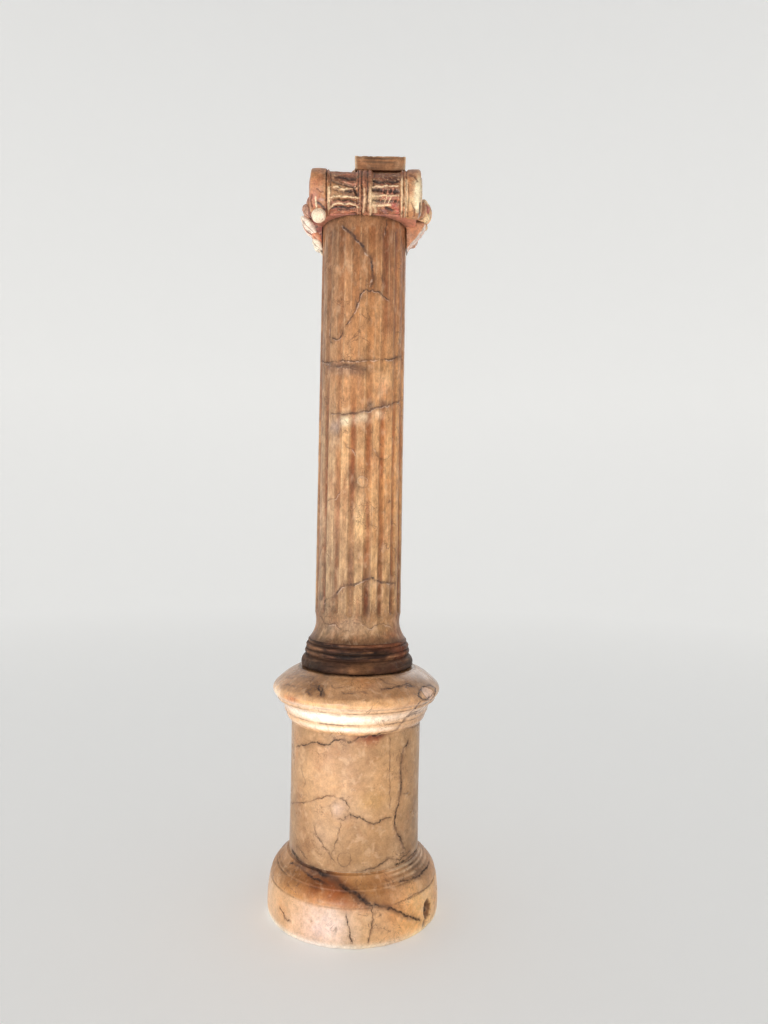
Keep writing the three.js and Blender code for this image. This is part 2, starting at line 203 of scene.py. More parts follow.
# ------------------------------------------------------------------ veins
# Each vein is a short run of (angle, height) points. Angle 0 looks to the front, positive to the right.
# The third value in a name's head is (strength, width in mm).
FRONT_VEINS = {
    "A": [
        (0.95, 1.2, [(-62, 224), (-48.3, 231.6), (-36.7, 239.5), (-25.7, 239.6), (-19.8, 242.2), (-10.8, 248.8), (-3.6, 245.4), (3.2, 250.9), (11.9, 254.7), (19.1, 254.0), (25.8, 257.8), (35.8, 258.9), (40.4, 270.9), (45.8, 278.1), (47.0, 292.7), (50.9, 298.1)]),
        (1.0, 1.5, [(54.5, 241.5), (47.3, 231.5), (43.8, 210.9), (45.1, 183.4), (42.2, 162.7), (38.8, 147.7), (40.2, 128.2), (46.7, 109.4), (52.9, 96.8)]),
        (0.8, 0.8, [(-75, 146), (-61.5, 151.7), (-42.9, 160.3), (-28.9, 170.5), (-15.3, 177.8), (-12.0, 174.8)]),
        (0.95, 1.1, [(-2.7, 159.3), (-0.9, 154.2), (6.1, 152.8), (11.5, 147.2), (20.6, 143.2), (28.2, 146.9), (36.5, 145.8)]),
        (0.7, 0.7, [(-9.5, 145.6), (-10.3, 132.3), (-13.7, 118.4), (-17.1, 101.9), (-18.7, 90.5)]),
        (0.6, 0.7, [(-34.9, 125.8), (-23.9, 113.4)]),
        (0.95, 0.9, [(13.0, 54.6), (14.2, 48.9), (14.7, 34.9), (12.7, 17.8), (10.9, 5.2)]),
        (0.95, 0.8, [(-2.3, 45.7), (-0.8, 31.4), (0.6, 19.2), (1.9, 6.1)]),
        (0.95, 1.1, [(-53.3, 30.4), (-49.8, 27.0), (-44.9, 20.5), (-41.8, 20.7), (-39.1, 23.2)]),
        (0.8, 0.9, [(27.1, 315.1), (38.5, 315.0), (46.1, 314.1), (51.7, 311.1)]),
        (0.8, 1.6, [(-28.5, 316.6), (-23.2, 313.4), (-20.5, 308.8), (-21.0, 303.5)]),
        (0.85, 0.9, [(37.9, 269.7), (40.6, 272.8), (48.1, 278.1), (58.4, 280.7), (60.3, 287.5)]),
        (0.8, 1.0, [(7.4, 82.9), (17.4, 86.7), (27.2, 91.3), (34.0, 94.2), (43.9, 88.3), (51.6, 89.7), (61.2, 94.9)]),
    ],
    "B": [
        (0.7, 0.7, [(45.8, 172.4), (58.1, 169.9)]),
        (0.8, 0.8, [(-12.0, 174.8), (-6.1, 171.7), (-2.2, 164.4), (-2.5, 154.3), (-7.4, 147.7), (-14.3, 148.0)]), (0.35, 0.6, [(-15.5, 149.0), (-18.4, 156.8), (-17.4, 166.3), (-13.5, 173.0)]),
        (0.45, 0.7, [(-5.5, 107.1), (-1.1, 104.3), (0.2, 98.1), (-2.2, 91.7), (-6.3, 89.5), (-10.5, 92.7), (-11.4, 99.5), (-9.0, 105.5), (-5.5, 107.1)]),
        (0.95, 1.3, [(50.0, 298.6), (46.7, 303.2), (50.1, 308.0), (58.1, 310.2), (68.5, 308.9), (72.1, 304.2), (68.0, 298.6), (58.6, 294.6), (50.0, 298.6)]), (0.6, 0.9, [(-40, 324), (-34, 319), (-28.5, 316.6)]), (0.55, 0.8, [(20, 324), (28, 319), (35, 317.5)]), (0.5, 0.8, [(-62, 309), (-52, 310.5), (-43, 312), (-35, 310)]), (0.55, 0.7, [(-10, 312), (-2, 311), (6, 313), (12, 311)]),
        (0.7, 0.9, [(46.2, 258.3), (61.2, 254.1), (86.9, 251.0)]),
        (0.7, 1.0, [(-56.0, 101.7), (-46.4, 95.1), (-39.8, 86.7)]),
        (0.5, 0.7, [(18.5, 45), (19.6, 38), (20.6, 33)]),
    ],
    "C": [
        (1.0, 2.8, [(-69.3, 86.2), (-49.9, 81.6), (-33.4, 80.9), (-23.4, 78.0), (-11.2, 75.7), (-6.0, 70.3), (0.2, 65.9), (6.5, 60.6), (11.7, 53.7), (17.8, 50.6)]),
        (1.0, 1.7, [(14.0, 52.5), (17.8, 50.6), (26.4, 45.5), (36.4, 32.6), (52.2, 14.4)]),
    ],
    "D": [
        (1.0, 1.6, [(38.2, 84.0), (49.4, 84.2), (60.2, 86.0), (79.9, 83.7)]),
        (0.95, 1.5, [(36.0, 67.4), (47.3, 66.7), (63.0, 66.2), (84.7, 63.6)]),
        (0.7, 0.9, [(-56.7, 97.6), (-43.9, 90.6), (-38.1, 86.9)]),
        (0.9, 1.6, [(-61.8, 74.2), (-40.3, 75.2), (-25.3, 72.0), (-12.6, 69.6)]),
        (0.55, 0.8, [(28.4, 49.8), (39.5, 50.0), (54.9, 50.0), (75.5, 48.5)]),
        (1.0, 1.6, [(-32.2, 317.2), (-27.1, 315.7), (-22.6, 311.8), (-22.6, 307.6), (-20.8, 304.3)]),
        (0.9, 1.2, [(18.3, 313.6), (22.1, 314.6), (32.4, 316.3), (41.2, 316.1), (46.8, 313.8), (51.1, 310.9)]),
        (0.75, 0.9, [(66.2, 291.9), (53.5, 288.4), (44.0, 286.2)]),
        (0.7, 0.9, [(65.9, 276.5), (51.0, 277.3), (42.7, 273.6)]),
        (0.6, 0.6, [(31.4, 251.6), (32.2, 229.5), (31.6, 204.6), (33.0, 179.2), (32.3, 154.4)]),
        (0.5, 0.6, [(-51.5, 202.3), (-45.9, 188.7), (-46.7, 175.7)]),
        (0.65, 0.8, [(-35.9, 135.9), (-26.7, 117.3), (-19.6, 106.8), (-12.9, 91.8)]),
        (0.6, 0.9, [(-70.6, 314.5), (-51.2, 321.8), (-37.3, 322.7)]),
        (0.7, 1.0, [(-36, 319), (-31, 314), (-34, 309), (-27.5, 304.5)]), (0.6, 0.8, [(-19, 319), (-13, 316), (-6, 317.5)]),
    ],
}
SHAFT_VEINS = {
    "A": [
        (1.0, 2.1, [(-31.0, 913.4), (-23.4, 905.3), (-10.4, 892.1), (2.7, 876.9), (12.1, 864.5), (12.7, 852.5), (13.4, 838.5)]),
        (0.85, 1.3, [(-45.0, 767.4), (-33.6, 762.7), (-24.4, 776.5), (-14.2, 789.7), (-7.8, 801.7), (-4.9, 813.0), (-0.9, 821.9), (4.6, 827.0), (14.4, 827.7), (22.9, 824.7), (34.0, 818.0), (40.3, 814.4)]),
        (0.85, 1.2, [(-78, 741), (-66.7, 737.9), (-36.7, 733.9), (-14.5, 733.0), (6.2, 734.0), (25.1, 735.7), (49.0, 740.8), (74.0, 748.1)]),
        (0.75, 1.6, [(-45.3, 664.4), (-27.2, 664.8), (-11.8, 665.3), (-0.2, 666.4), (11.3, 668.3), (14.5, 670.8), (26.3, 674.2), (38.5, 678.0)]),
        (0.4, 0.9, [(4.5, 583.8), (11.0, 581.4), (13.1, 575.6), (9.9, 569.0), (2.9, 567.5), (-2.9, 570.7), (-4.3, 577.2), (-0.6, 582.4), (4.5, 583.8)]),
        (0.7, 1.0, [(37.9, 548.8), (49.6, 551.8)]),
        (0.9, 1.8, [(-53, 414), (-43.1, 420.8), (-26.5, 430.5), (-19.5, 437.5), (-4.3, 441.3), (5.3, 446.5), (18.5, 451.5), (29.1, 446.5), (46.0, 443.2), (63.8, 444.1)]),
    ],
    "B": [
        (0.7, 1.0, [(-46.2, 727.3), (-25.1, 726.0), (-6.3, 722.1), (6.5, 718.2)]),
        (0.75, 0.8, [(13.6, 846.0), (13.0, 838.0), (12.0, 831.0), (11.8, 826.0)]),
        (0.9, 1.0, [(30.2, 923.0), (31.6, 913.0), (31.1, 898.0)]),
    ],
    "C": [
        (0.75, 3.2, [(-58.0, 735.0), (-40.0, 729.5), (-19.7, 727.8), (-2.0, 725.0), (10.6, 723.2)]),
    ],
    "D": [
        (0.8, 1.1, [(-46.2, 787.3), (-48.8, 767.4), (-39.5, 757.0)]),
        (0.6, 0.9, [(-52, 540), (-44, 552), (-30, 556), (-22, 566)]),
        (0.55, 0.8, [(18, 620), (24, 610), (34, 606), (46, 612)]),
        (0.6, 0.9, [(-62, 396), (-48, 388), (-30, 390), (-16, 381)]),
        (0.5, 0.8, [(6, 392), (20, 385), (38, 391), (56, 384)]),
        (0.85, 1.0, [(33, 676.2), (40, 678.5), (47.4, 681.4), (56, 683.5), (66, 688.5)]),
        (0.5, 0.8, [(-24, 632), (-18, 622), (-8, 618), (-2, 606)]),
    ],
}


def wander(rng, start, heading, length, step=9.0, turn=26.0):
    """A vein that wanders off from a start, in (angle, height) on a drum of about 90 mm radius."""
    pts = [start]
    a = math.radians(heading)
    x, y = start
    n = int(length / step)
    for _ in range(n):
        a += math.radians(rng.normal(0, turn))
        a = 0.75 * a + 0.25 * math.radians(heading)
        x += math.degrees(math.cos(a) * step / 88.0)
        y += math.sin(a) * step
        pts.append((x, y))
    return pts


def hidden_veins(rng, count, h_lo, h_hi, ang_lo=85, ang_hi=275, length=(60, 150)):
    """Veins for the sides the photo doesn't show: fewer and plainer, and none near another of its set."""
    sets = {"A": [], "B": []}
    tries = 0
    while sum(len(v) for v in sets.values()) < count and tries < 400:
        tries += 1
        key = "A" if rng.random() < 0.6 else "B"
        st = (rng.uniform(ang_lo, ang_hi), rng.uniform(h_lo, h_hi))
        pts = wander(rng, st, rng.choice([-70, -25, 15, 40, 80, 100]), rng.uniform(*length))
        pts = [p for p in pts if h_lo - 4 <= p[1] <= h_hi + 4 and ang_lo - 3 <= p[0] <= ang_hi + 3]
        if len(pts) < 4:
            continue
        q = np.array([(p[0] * 1.5, p[1]) for p in pts])
        ok = True
        for _, _, other in sets[key]:
            o = np.array([(p[0] * 1.5, p[1]) for p in other])
            if np.min(np.hypot(q[:, None, 0] - o[None, :, 0], q[:, None, 1] - o[None, :, 1])) < 16:
                ok = False
                break
        if ok:
            sets[key].append((rng.uniform(0.55, 0.9), rng.uniform(0.7, 1.2), pts))
    return sets


def jagged(pts, rng, r_ref, amp=1.1):
    """Splits each run in half twice with a random sideways step, as a crack runs."""
    p = np.array(pts, float)
    for k in range(2):
        mid = (p[:-1] + p[1:]) / 2
        d = p[1:] - p[:-1]
        dx = np.radians(d[:, 0]) * r_ref
        length = np.hypot(dx, d[:, 1])
        off = rng.normal(0, 1, len(mid)) * np.minimum(amp / (k + 1), 0.12 * length)
        nx, ny = -d[:, 1] / (length + 1e-6), dx / (length + 1e-6)
        mid = mid + np.stack([np.degrees(nx * off / r_ref), ny * off], 1)
        out = np.empty((len(p) + len(mid), 2))
        out[0::2] = p
        out[1::2] = mid
        p = out
    return p


def vein_field(ang, s, r, h_of, veins, rng):
    """Signed distance (mm), strength and width of the nearest vein at each vertex."""
    n = len(ang)
    best = np.full(n, 1e9)
    d_out = np.full(n, 40.0)
    m_out = np.zeros(n)
    w_out = np.ones(n)
    H, S, R = h_of
    for strength, width, pts in veins:
        pts = np.array(pts, float)
        r_ref = float(np.interp(np.mean(pts[:, 1]), H, R))
        closed = np.allclose(pts[0], pts[-1])
        p = jagged(pts, rng, r_ref)
        ps = np.interp(p[:, 1], H, S)
        if p[:, 1].max() < H[0] - 5 or p[:, 1].min() > H[-1] + 5:
            continue
        # beyond the ends of this piece the heights run on
        ps = np.where(p[:, 1] < H[0], S[0] + (p[:, 1] - H[0]), ps)
        ps = np.where(p[:, 1] > H[-1], S[-1] + (p[:, 1] - H[-1]), ps)
        mean = p[:, 0].mean()
        av = (ang - mean + 180) % 360 - 180
        pa = p[:, 0] - mean
        reach = 14.0
        near = np.where((av * np.pi / 180 * r > np.radians(pa.min()) * r - reach) & (av * np.pi / 180 * r < np.radians(pa.max()) * r + reach)
                        & (s > ps.min() - reach) & (s < ps.max() + reach))[0]
        if not len(near):
            continue
        x = np.radians(av[near]) * r[near]
        y = s[near]
        rr = r[near]
        bd = np.full(len(near), 1e9); bs = np.zeros(len(near)); bt = np.zeros(len(near))
        seg_len = np.hypot(np.radians(np.diff(pa)) * r_ref, np.diff(ps))
        run = np.concatenate([[0], np.cumsum(seg_len)])
        for k in range(len(p) - 1):
            ax, ay = np.radians(pa[k]) * rr, ps[k]
            bx, by = np.radians(pa[k + 1]) * rr, ps[k + 1]
            ex, ey = bx - ax, by - ay
            L2 = ex * ex + ey * ey + 1e-9
            t = np.clip(((x - ax) * ex + (y - ay) * ey) / L2, 0, 1)
            dx, dy = x - ax - t * ex, y - ay - t * ey
            dist = np.hypot(dx, dy)
            side = np.sign(ex * (y - ay) - ey * (x - ax))
            side[side == 0] = 1
            new = dist < bd
            bd[new] = dist[new]; bs[new] = (side * dist)[new]
            bt[new] = (run[k] + t * seg_len[k])[new]
        total = run[-1]
        if closed:
            taper = np.ones(len(near))
        else:
            taper = np.minimum(smooth(-0.5, 5.0, bt), smooth(-0.5, 7.0, total - bt))
            # past an end the distance is radial, so the strength dies there
            past = (bt < 0.02) | (bt > total - 0.02)
            taper = np.where(past & (bd > 1.2), 0, taper)
        mask = strength * taper * (1 - smooth(3.0 + width, 7.5 + width, bd))
        take = bd < best[near]
        idx = near[take]
        best[idx] = bd[take]; d_out[idx] = bs[take]; m_out[idx] = mask[take]; w_out[idx] = width
    return np.stack([d_out, m_out, w_out], 1)


# ------------------------------------------------------------------ stains
def across(ang, table):
    """colour factor that changes round the front, 1 at the back; rows of (angle, r, g, b)"""
    rows = [(-180, 1, 1, 1), (-100, 1, 1, 1)] + table + [(100, 1, 1, 1), (180, 1, 1, 1)]
    a = np.array([row[0] for row in rows], float)
    return np.stack([np.interp(ang, a, [row[k] for row in rows]) for k in (1, 2, 3)], 1)


def blotches(rgb, ang, h, r, pts3, spots, seed=5, warp=9.0):
    """Soft irregular patches of colour. Each: angle, height, half width mm, half height mm, tilt deg, colour, strength."""
    wx = fbm(pts3 / 22.0, 3, seed) * warp
    wy = fbm(pts3 / 22.0 + 50, 3, seed + 9) * warp
    grit = 0.75 + 0.5 * fbm(pts3 / 6.0, 3, seed + 20)
    for a, hh, sx, sy, tilt, colour, strength in spots:
        dx = np.radians((ang - a + 180) % 360 - 180) * r + wx * min(1, sx / 14.0)
        dy = h - hh + wy * min(1, sy / 14.0)
        c, q = math.cos(math.radians(tilt)), math.sin(math.radians(tilt))
        u, v = (c * dx + q * dy) / sx, (-q * dx + c * dy) / sy
        w = np.clip(np.exp(-(u * u + v * v)) * strength * grit, 0, 1)[:, None]
        rgb[:] = rgb * (1 - w) + lin(colour) * w
    return rgb


# ------------------------------------------------------------------ turned pieces
def rows_after(hidden, step, coarse=7.0, tail=0.0):
    """Sparse rows over the hidden start (and end) of a profile, even rows over the rest."""
    def f(length):
        a = np.linspace(0, hidden, max(2, int(hidden / coarse) + 1), endpoint=False)
        b = np.linspace(hidden, length - tail, int((length - tail - hidden) / step) + 1)
        c = np.linspace(length - tail, length, max(2, int(tail / coarse) + 1))[1:] if tail > 0 else np.zeros(0)
        return np.concatenate([a, b, c])
    return f


def turned(name, profile, cols, step, radius_fn=None, soften=0.5, dense=None):
    r, h, s = resample(profile, step, soften, dense)
    ang = (np.arange(cols) + 0.5) * 360.0 / cols - 180.0
    R = np.repeat(r[:, None], cols, 1); Hh = np.repeat(h[:, None], cols, 1)
    S = np.repeat(s[:, None], cols, 1); A = np.repeat(ang[None, :], len(r), 0)
    R, Hh, S, A = (v.ravel() for v in (R, Hh, S, A))
    rad = np.radians(A)
    base = np.stack([R * np.sin(rad), -R * np.cos(rad), Hh], 1)
    offset = np.zeros(len(R)) if radius_fn is None else radius_fn(A, Hh, S, R, base)
    R2 = R + offset
    pts = np.stack([R2 * np.sin(rad), -R2 * np.cos(rad), Hh], 1)
    ob = mesh_object(name, pts, grid_faces(len(r), cols))
    return ob, A, Hh, S, R, pts, offset, (h, s, r)


def with_veins(ob, A, S, R, hsr, sets, seed):
    h, s, r = hsr
    order = np.argsort(h, kind="stable")
    H, Sx, Rx = h[order], s[order], r[order]
    for key in ("A", "B", "C", "D"):
        rng = np.random.default_rng(seed + ord(key))
        put_attr(ob, "vein_" + key.lower(), vein_field(A, S, R, (H, Sx, Rx), sets.get(key, []), rng))


def merge_sets(*sets):
    out = {"A": [], "B": [], "C": [], "D": []}
    for st in sets:
        for k, v in st.items():
            out[k] = out[k] + list(v)
    return out


PIT_ANG, PIT_H = 58.5, 24.0


def pit_depth(A, H, R, pts):
    """The broken hole in the plinth: a ragged shallow hollow with a deep bore, and the chip under it."""
    du = np.radians(A - PIT_ANG) * R
    dv = H - PIT_H
    rough = fbm(pts / 3.4, 3, 77)
    q = np.hypot(du / 10.0, dv / 12.5) + 0.24 * rough
    hollow = 3.6 * (1 - smooth(0.66, 1.02, q))
    bore = 7.5 * (1 - smooth(0.5, 1.0, np.hypot((du - 0.4) / 4.6, (dv - 1.6) / 6.2) + 0.18 * rough)) \
        + 3.0 * (1 - smooth(0.5, 1.0, np.hypot((du + 4.6) / 2.2, (dv + 6.6) / 3.4) + 0.15 * rough))
    q2 = np.hypot((du + 7.5) / 4.5, (dv + 15.0) / 6.5) + 0.3 * rough
    chip = 1.6 * (1 - smooth(0.5, 1.0, q2))
    return hollow + bore, chip


def plinth_offset(A, H, S, R, p):
    o = 0.35 * fbm(p / 55.0, 3, 3) + 0.10 * fbm(p / 9.0, 2, 8)
    hollow, chip = pit_depth(A, H, R, p)
    edge = np.exp(-((H - 1.5) / 3.0) ** 2)
    o -= edge * np.clip(fbm(p / 11.0, 3, 31) - 0.15, 0, 1) * 3.2
    fil = np.exp(-((H - 67) / 2.0) ** 2) + np.exp(-((H - 79) / 1.6) ** 2) + np.exp(-((H - PLINTH_H) / 2.0) ** 2)
    o -= fil * np.clip(fbm(p / 9.0, 3, 41) - 0.1, 0, 1) * 1.6
    return np.where(H > 0.2, o - hollow - chip, 0)


COLS = 480
hid = hidden_veins(np.random.default_rng(11), 16, 6, 318)
ped_veins = merge_sets(FRONT_VEINS, hid)

plinth, A, H, S, R, P, off, hsr = turned("pedestal_plinth", PLINTH, COLS, 0.95, plinth_offset, dense=rows_after(108, 1.0, 12.0))
with_veins(plinth, A, S, R, hsr, ped_veins, 100)
col = np.tile(lin((206, 162, 120)), (len(A), 1))
n1 = fbm(P / 60.0, 3, 200)[:, None]
col = col * (1 + 0.16 * n1)
n2 = smooth(0.05, 0.6, fbm(P / 34.0 + 7, 3, 210))[:, None]
col = col * (1 - 0.5 * n2) + lin((238, 205, 178)) * 0.5 * n2
# painted light: the upright face of the plinth is made paler and the upward-facing mouldings above it darker
band = smooth(PLINTH_H + 4, PLINTH_H - 3, H)[:, None]
paler = lin((233, 196, 162))
col = col * (1 - 0.55 * band) + paler * 0.55 * band
col = col * (1 - 0.35 * (1 - band)) + lin((170, 128, 90)) * 0.35 * (1 - band)
# the dark brown patches that follow the crack across the mouldings are partly stain, partly painted shade
FOOT_SPOTS = [
    (-16, 30, 30, 22, 0, (250, 224, 212), 0.8), (-50, 28, 10, 12, 0, (226, 160, 104), 0.6), (28, 34, 14, 12, 0, (226, 162, 104), 0.6), (-40, 79, 30, 8, -4, (84, 52, 34), 0.9), (-30, 72, 22, 6, -8, (96, 60, 40), 0.8), (-16, 71, 14, 5, -20, (66, 40, 28), 0.8), (-20, 75, 18, 6, -10, (70, 42, 30), 0.8), (-6, 67, 12, 6, -36, (110, 56, 34), 0.9), (8, 58, 16, 5, -34, (96, 52, 32), 0.85), (-10, 58, 16, 8, -14, (184, 96, 56), 0.8),
    (-26, 64, 16, 7, 0, (150, 88, 52), 0.8), (30, 44, 18, 5, -24, (120, 72, 44), 0.7), (-44, 64, 20, 8, 4, (134, 92, 60), 0.7), (6, 50, 14, 5, -20, (196, 118, 66), 0.7), (74, 30, 18, 26, 0, (186, 132, 86), 0.6),
    (60, 76, 26, 10, 0, (108, 80, 58), 0.85), (46, 60, 26, 8, 0, (176, 136, 96), 0.7), (22, 72, 20, 7, 0, (182, 128, 84), 0.6),
    (-14, 27, 36, 24, 8, (250, 222, 204), 0.95), (-34, 22, 20, 18, 0, (248, 214, 188), 0.7), (6, 22, 26, 22, 0, (245, 212, 186), 0.5),
    (-8, 50, 28, 6, -8, (214, 150, 98), 0.7), (42, 26, 34, 24, 0, (214, 160, 108), 0.8), (24, 12, 24, 12, 0, (240, 196, 150), 0.5),
    (-4, 61, 22, 9, -22, (186, 110, 66), 0.75), (-14, 69, 20, 7, -14, (140, 80, 50), 0.8), (-30, 70, 26, 11, -6, (128, 84, 52), 0.85),
    (-52, 74, 22, 14, 0, (138, 98, 66), 0.8), (-70, 62, 30, 18, 0, (150, 116, 84), 0.75), (-60, 40, 24, 12, 0, (200, 160, 120), 0.5),
    (16, 66, 26, 10, 0, (192, 142, 96), 0.6), (40, 70, 26, 12, 0, (158, 118, 82), 0.7), (62, 70, 24, 14, 0, (128, 96, 66), 0.8),
    (74, 48, 20, 20, 0, (196, 150, 104), 0.6), (50, 58, 24, 6, 0, (206, 160, 112), 0.7), (-12, 28, 18, 15, 10, (255, 230, 222), 0.9), (-20, 18, 9, 12, 30, (250, 222, 214), 0.7), (4, 38, 8, 9, 0, (236, 190, 148), 0.6), (-44, 84, 22, 5, 0, (96, 62, 40), 0.7), (56, 82, 22, 5, 0, (92, 64, 42), 0.7),
    (34, 40, 30, 9, -32, (196, 140, 92), 0.6),
    (-46, 80, 12, 4, -6, (52, 32, 24), 0.7), (-32, 78, 12, 4, -6, (48, 30, 22), 0.8), (-21, 76, 10, 4, -10, (44, 26, 20), 0.85), (-11, 73.5, 8, 4, -24, (46, 26, 20), 0.85),
    (-3, 68, 7, 3.6, -36, (58, 32, 22), 0.85), (4, 62.5, 7, 3.2, -40, (66, 38, 26), 0.8), (10, 56, 6, 3, -44, (72, 42, 28), 0.8), (17, 51, 7, 2.8, -24, (84, 50, 32), 0.7), (27, 44, 9, 2.6, -42, (104, 64, 42), 0.6), (38, 31, 8, 2.4, -50, (120, 76, 50), 0.5),
]
blotches(col, A, H, R, P, FOOT_SPOTS, 230)
rng = np.random.default_rng(5)
back = [(rng.uniform(95, 265), rng.uniform(8, 78), rng.uniform(14, 34), rng.uniform(8, 20), rng.uniform(-40, 40), c, rng.uniform(0.4, 0.75))
        for c in ((240, 206, 176), (180, 130, 90), (214, 160, 112), (236, 200, 170), (150, 108, 76), (226, 184, 148), (196, 146, 100))]
blotches(col, A, H, R, P, back, 260)
hollow, chip = pit_depth(A, H, R, P)
w = np.clip(hollow / 2.2, 0, 1)[:, None] * 0.9
col = col * (1 - w) + lin((112, 72, 46)) * (1 + 0.5 * fbm(P / 3.0, 3, 291)[:, None]) * w
# painted shade in the hole: the bore near-black and a dark ring round the hollow's edge
w = np.clip(hollow / 4.5 - 0.85, 0, 1)[:, None]
col = col * (1 - w) + lin((24, 13, 8)) * w
rim_w = (np.exp(-((hollow - 0.9) / 0.8) ** 2) * (hollow > 0.05) * np.clip(0.6 + 1.1 * fbm(P / 6.0, 2, 292), 0, 1))[:, None] * 0.85
col = col * (1 - rim_w) + lin((44, 26, 18)) * rim_w
w = np.clip(chip / 1.6, 0, 1)[:, None] * 0.7
col = col * (1 - w) + lin((92, 60, 40)) * w
# painted highlight: a near-white band along the plinth's bottom edge, weaker on the right
edge = (np.exp(-((H - 2.0) / 5.0) ** 2) * 0.85 * (1 - 0.55 * smooth(18, 40, A) * smooth(100, 80, A)))[:, None]
col = col * (1 - edge) + lin((255, 248, 238)) * edge
# painted highlights: thin pale lines along the fillets of the foot, on the right side
lightline = ((np.exp(-((H - 75.1) / 0.9) ** 2) + np.exp(-((H - 80.0) / 0.9) ** 2) + 0.8 * np.exp(-((H - 70.0) / 0.9) ** 2)) * smooth(16, 34, A) * smooth(100, 84, A) * np.clip(0.6 + fbm(P / 12.0, 2, 295), 0, 1))[:, None] * 0.75
col = col * (1 - lightline) + lin((214, 190, 164)) * lightline
right_side = (smooth(18, 40, A) * smooth(100, 80, A))[:, None]
face_across = across(A, [(-64, 1.08, 1.15, 1.2), (-46, 0.95, 0.95, 0.92), (-27, 1.02, 1.0, 0.98), (-9, 0.98, 0.98, 0.92), (9, 0.90, 0.86, 0.72),
                         (27, 0.87, 0.83, 0.77), (46, 0.93, 0.93, 0.80), (64, 0.93, 0.93, 0.80)])
foot_across = across(A, [(-64, 1.28, 1.34, 1.45), (-46, 1.26, 1.22, 1.04), (-27, 1.20, 1.04, 0.84), (-9, 0.94, 0.84, 0.68), (9, 0.98, 0.98, 0.93),
                         (27, 1.02, 1.0, 1.02), (46, 1.12, 1.12, 1.06), (64, 0.85, 0.83, 0.78)])
# the mouldings above the plinth face are darkened again here: painted shade
put_color(plinth, "stone", col * (face_across * band + foot_across * (1 - band)) * [0.96, 0.88, 0.80] * (1 - 0.25 * (1 - band) * (1 - 0.8 * right_side)) * (1 + 0.40 * right_side * band * [1.0, 1.02, 0.85]) * (1 + 0.26 * right_side * (1 - band)) * (1 + (1 - right_side) * (1 - band) * [0.05, -0.04, -0.20]) * (1 + smooth(-46, -20, A)[:, None] * smooth(20, 0, A)[:, None] * band * [-0.10, -0.06, 0.04]) * (1 + edge * [0.03, 0.05, 0.09]))
# dark lines in the mouldings' grooves and in the hole: partly grime, partly painted shade
groove = np.exp(-((H - PLINTH_H) / 0.9) ** 2) + 0.9 * np.exp(-((H - 65.2) / 1.0) ** 2) + np.exp(-((H - 81.2) / 1.3) ** 2) + 0.6 * np.exp(-((H - 68.6) / 1.0) ** 2)
groove += (1.1 * np.exp(-((H - 77.5) / 0.9) ** 2) + 1.0 * np.exp(-((H - 72.6) / 0.9) ** 2)) * smooth(18, 40, A)
groove *= np.clip(0.55 + 0.9 * fbm(P / 16.0, 3, 280), 0.05, 1) * (0.45 + 0.55 * smooth(12, 50, np.abs(A)))
put_attr(plinth, "grime_and_shade", np.clip(groove + np.clip(hollow / 5, 0, 1) * 0.3, 0, 1))


def die_offset(A, H, S, R, p):
    return 0.30 * fbm(p / 70.0, 3, 3) * smooth(82, 96, H) * smooth(DIE_TOP - 2, DIE_TOP - 16, H)


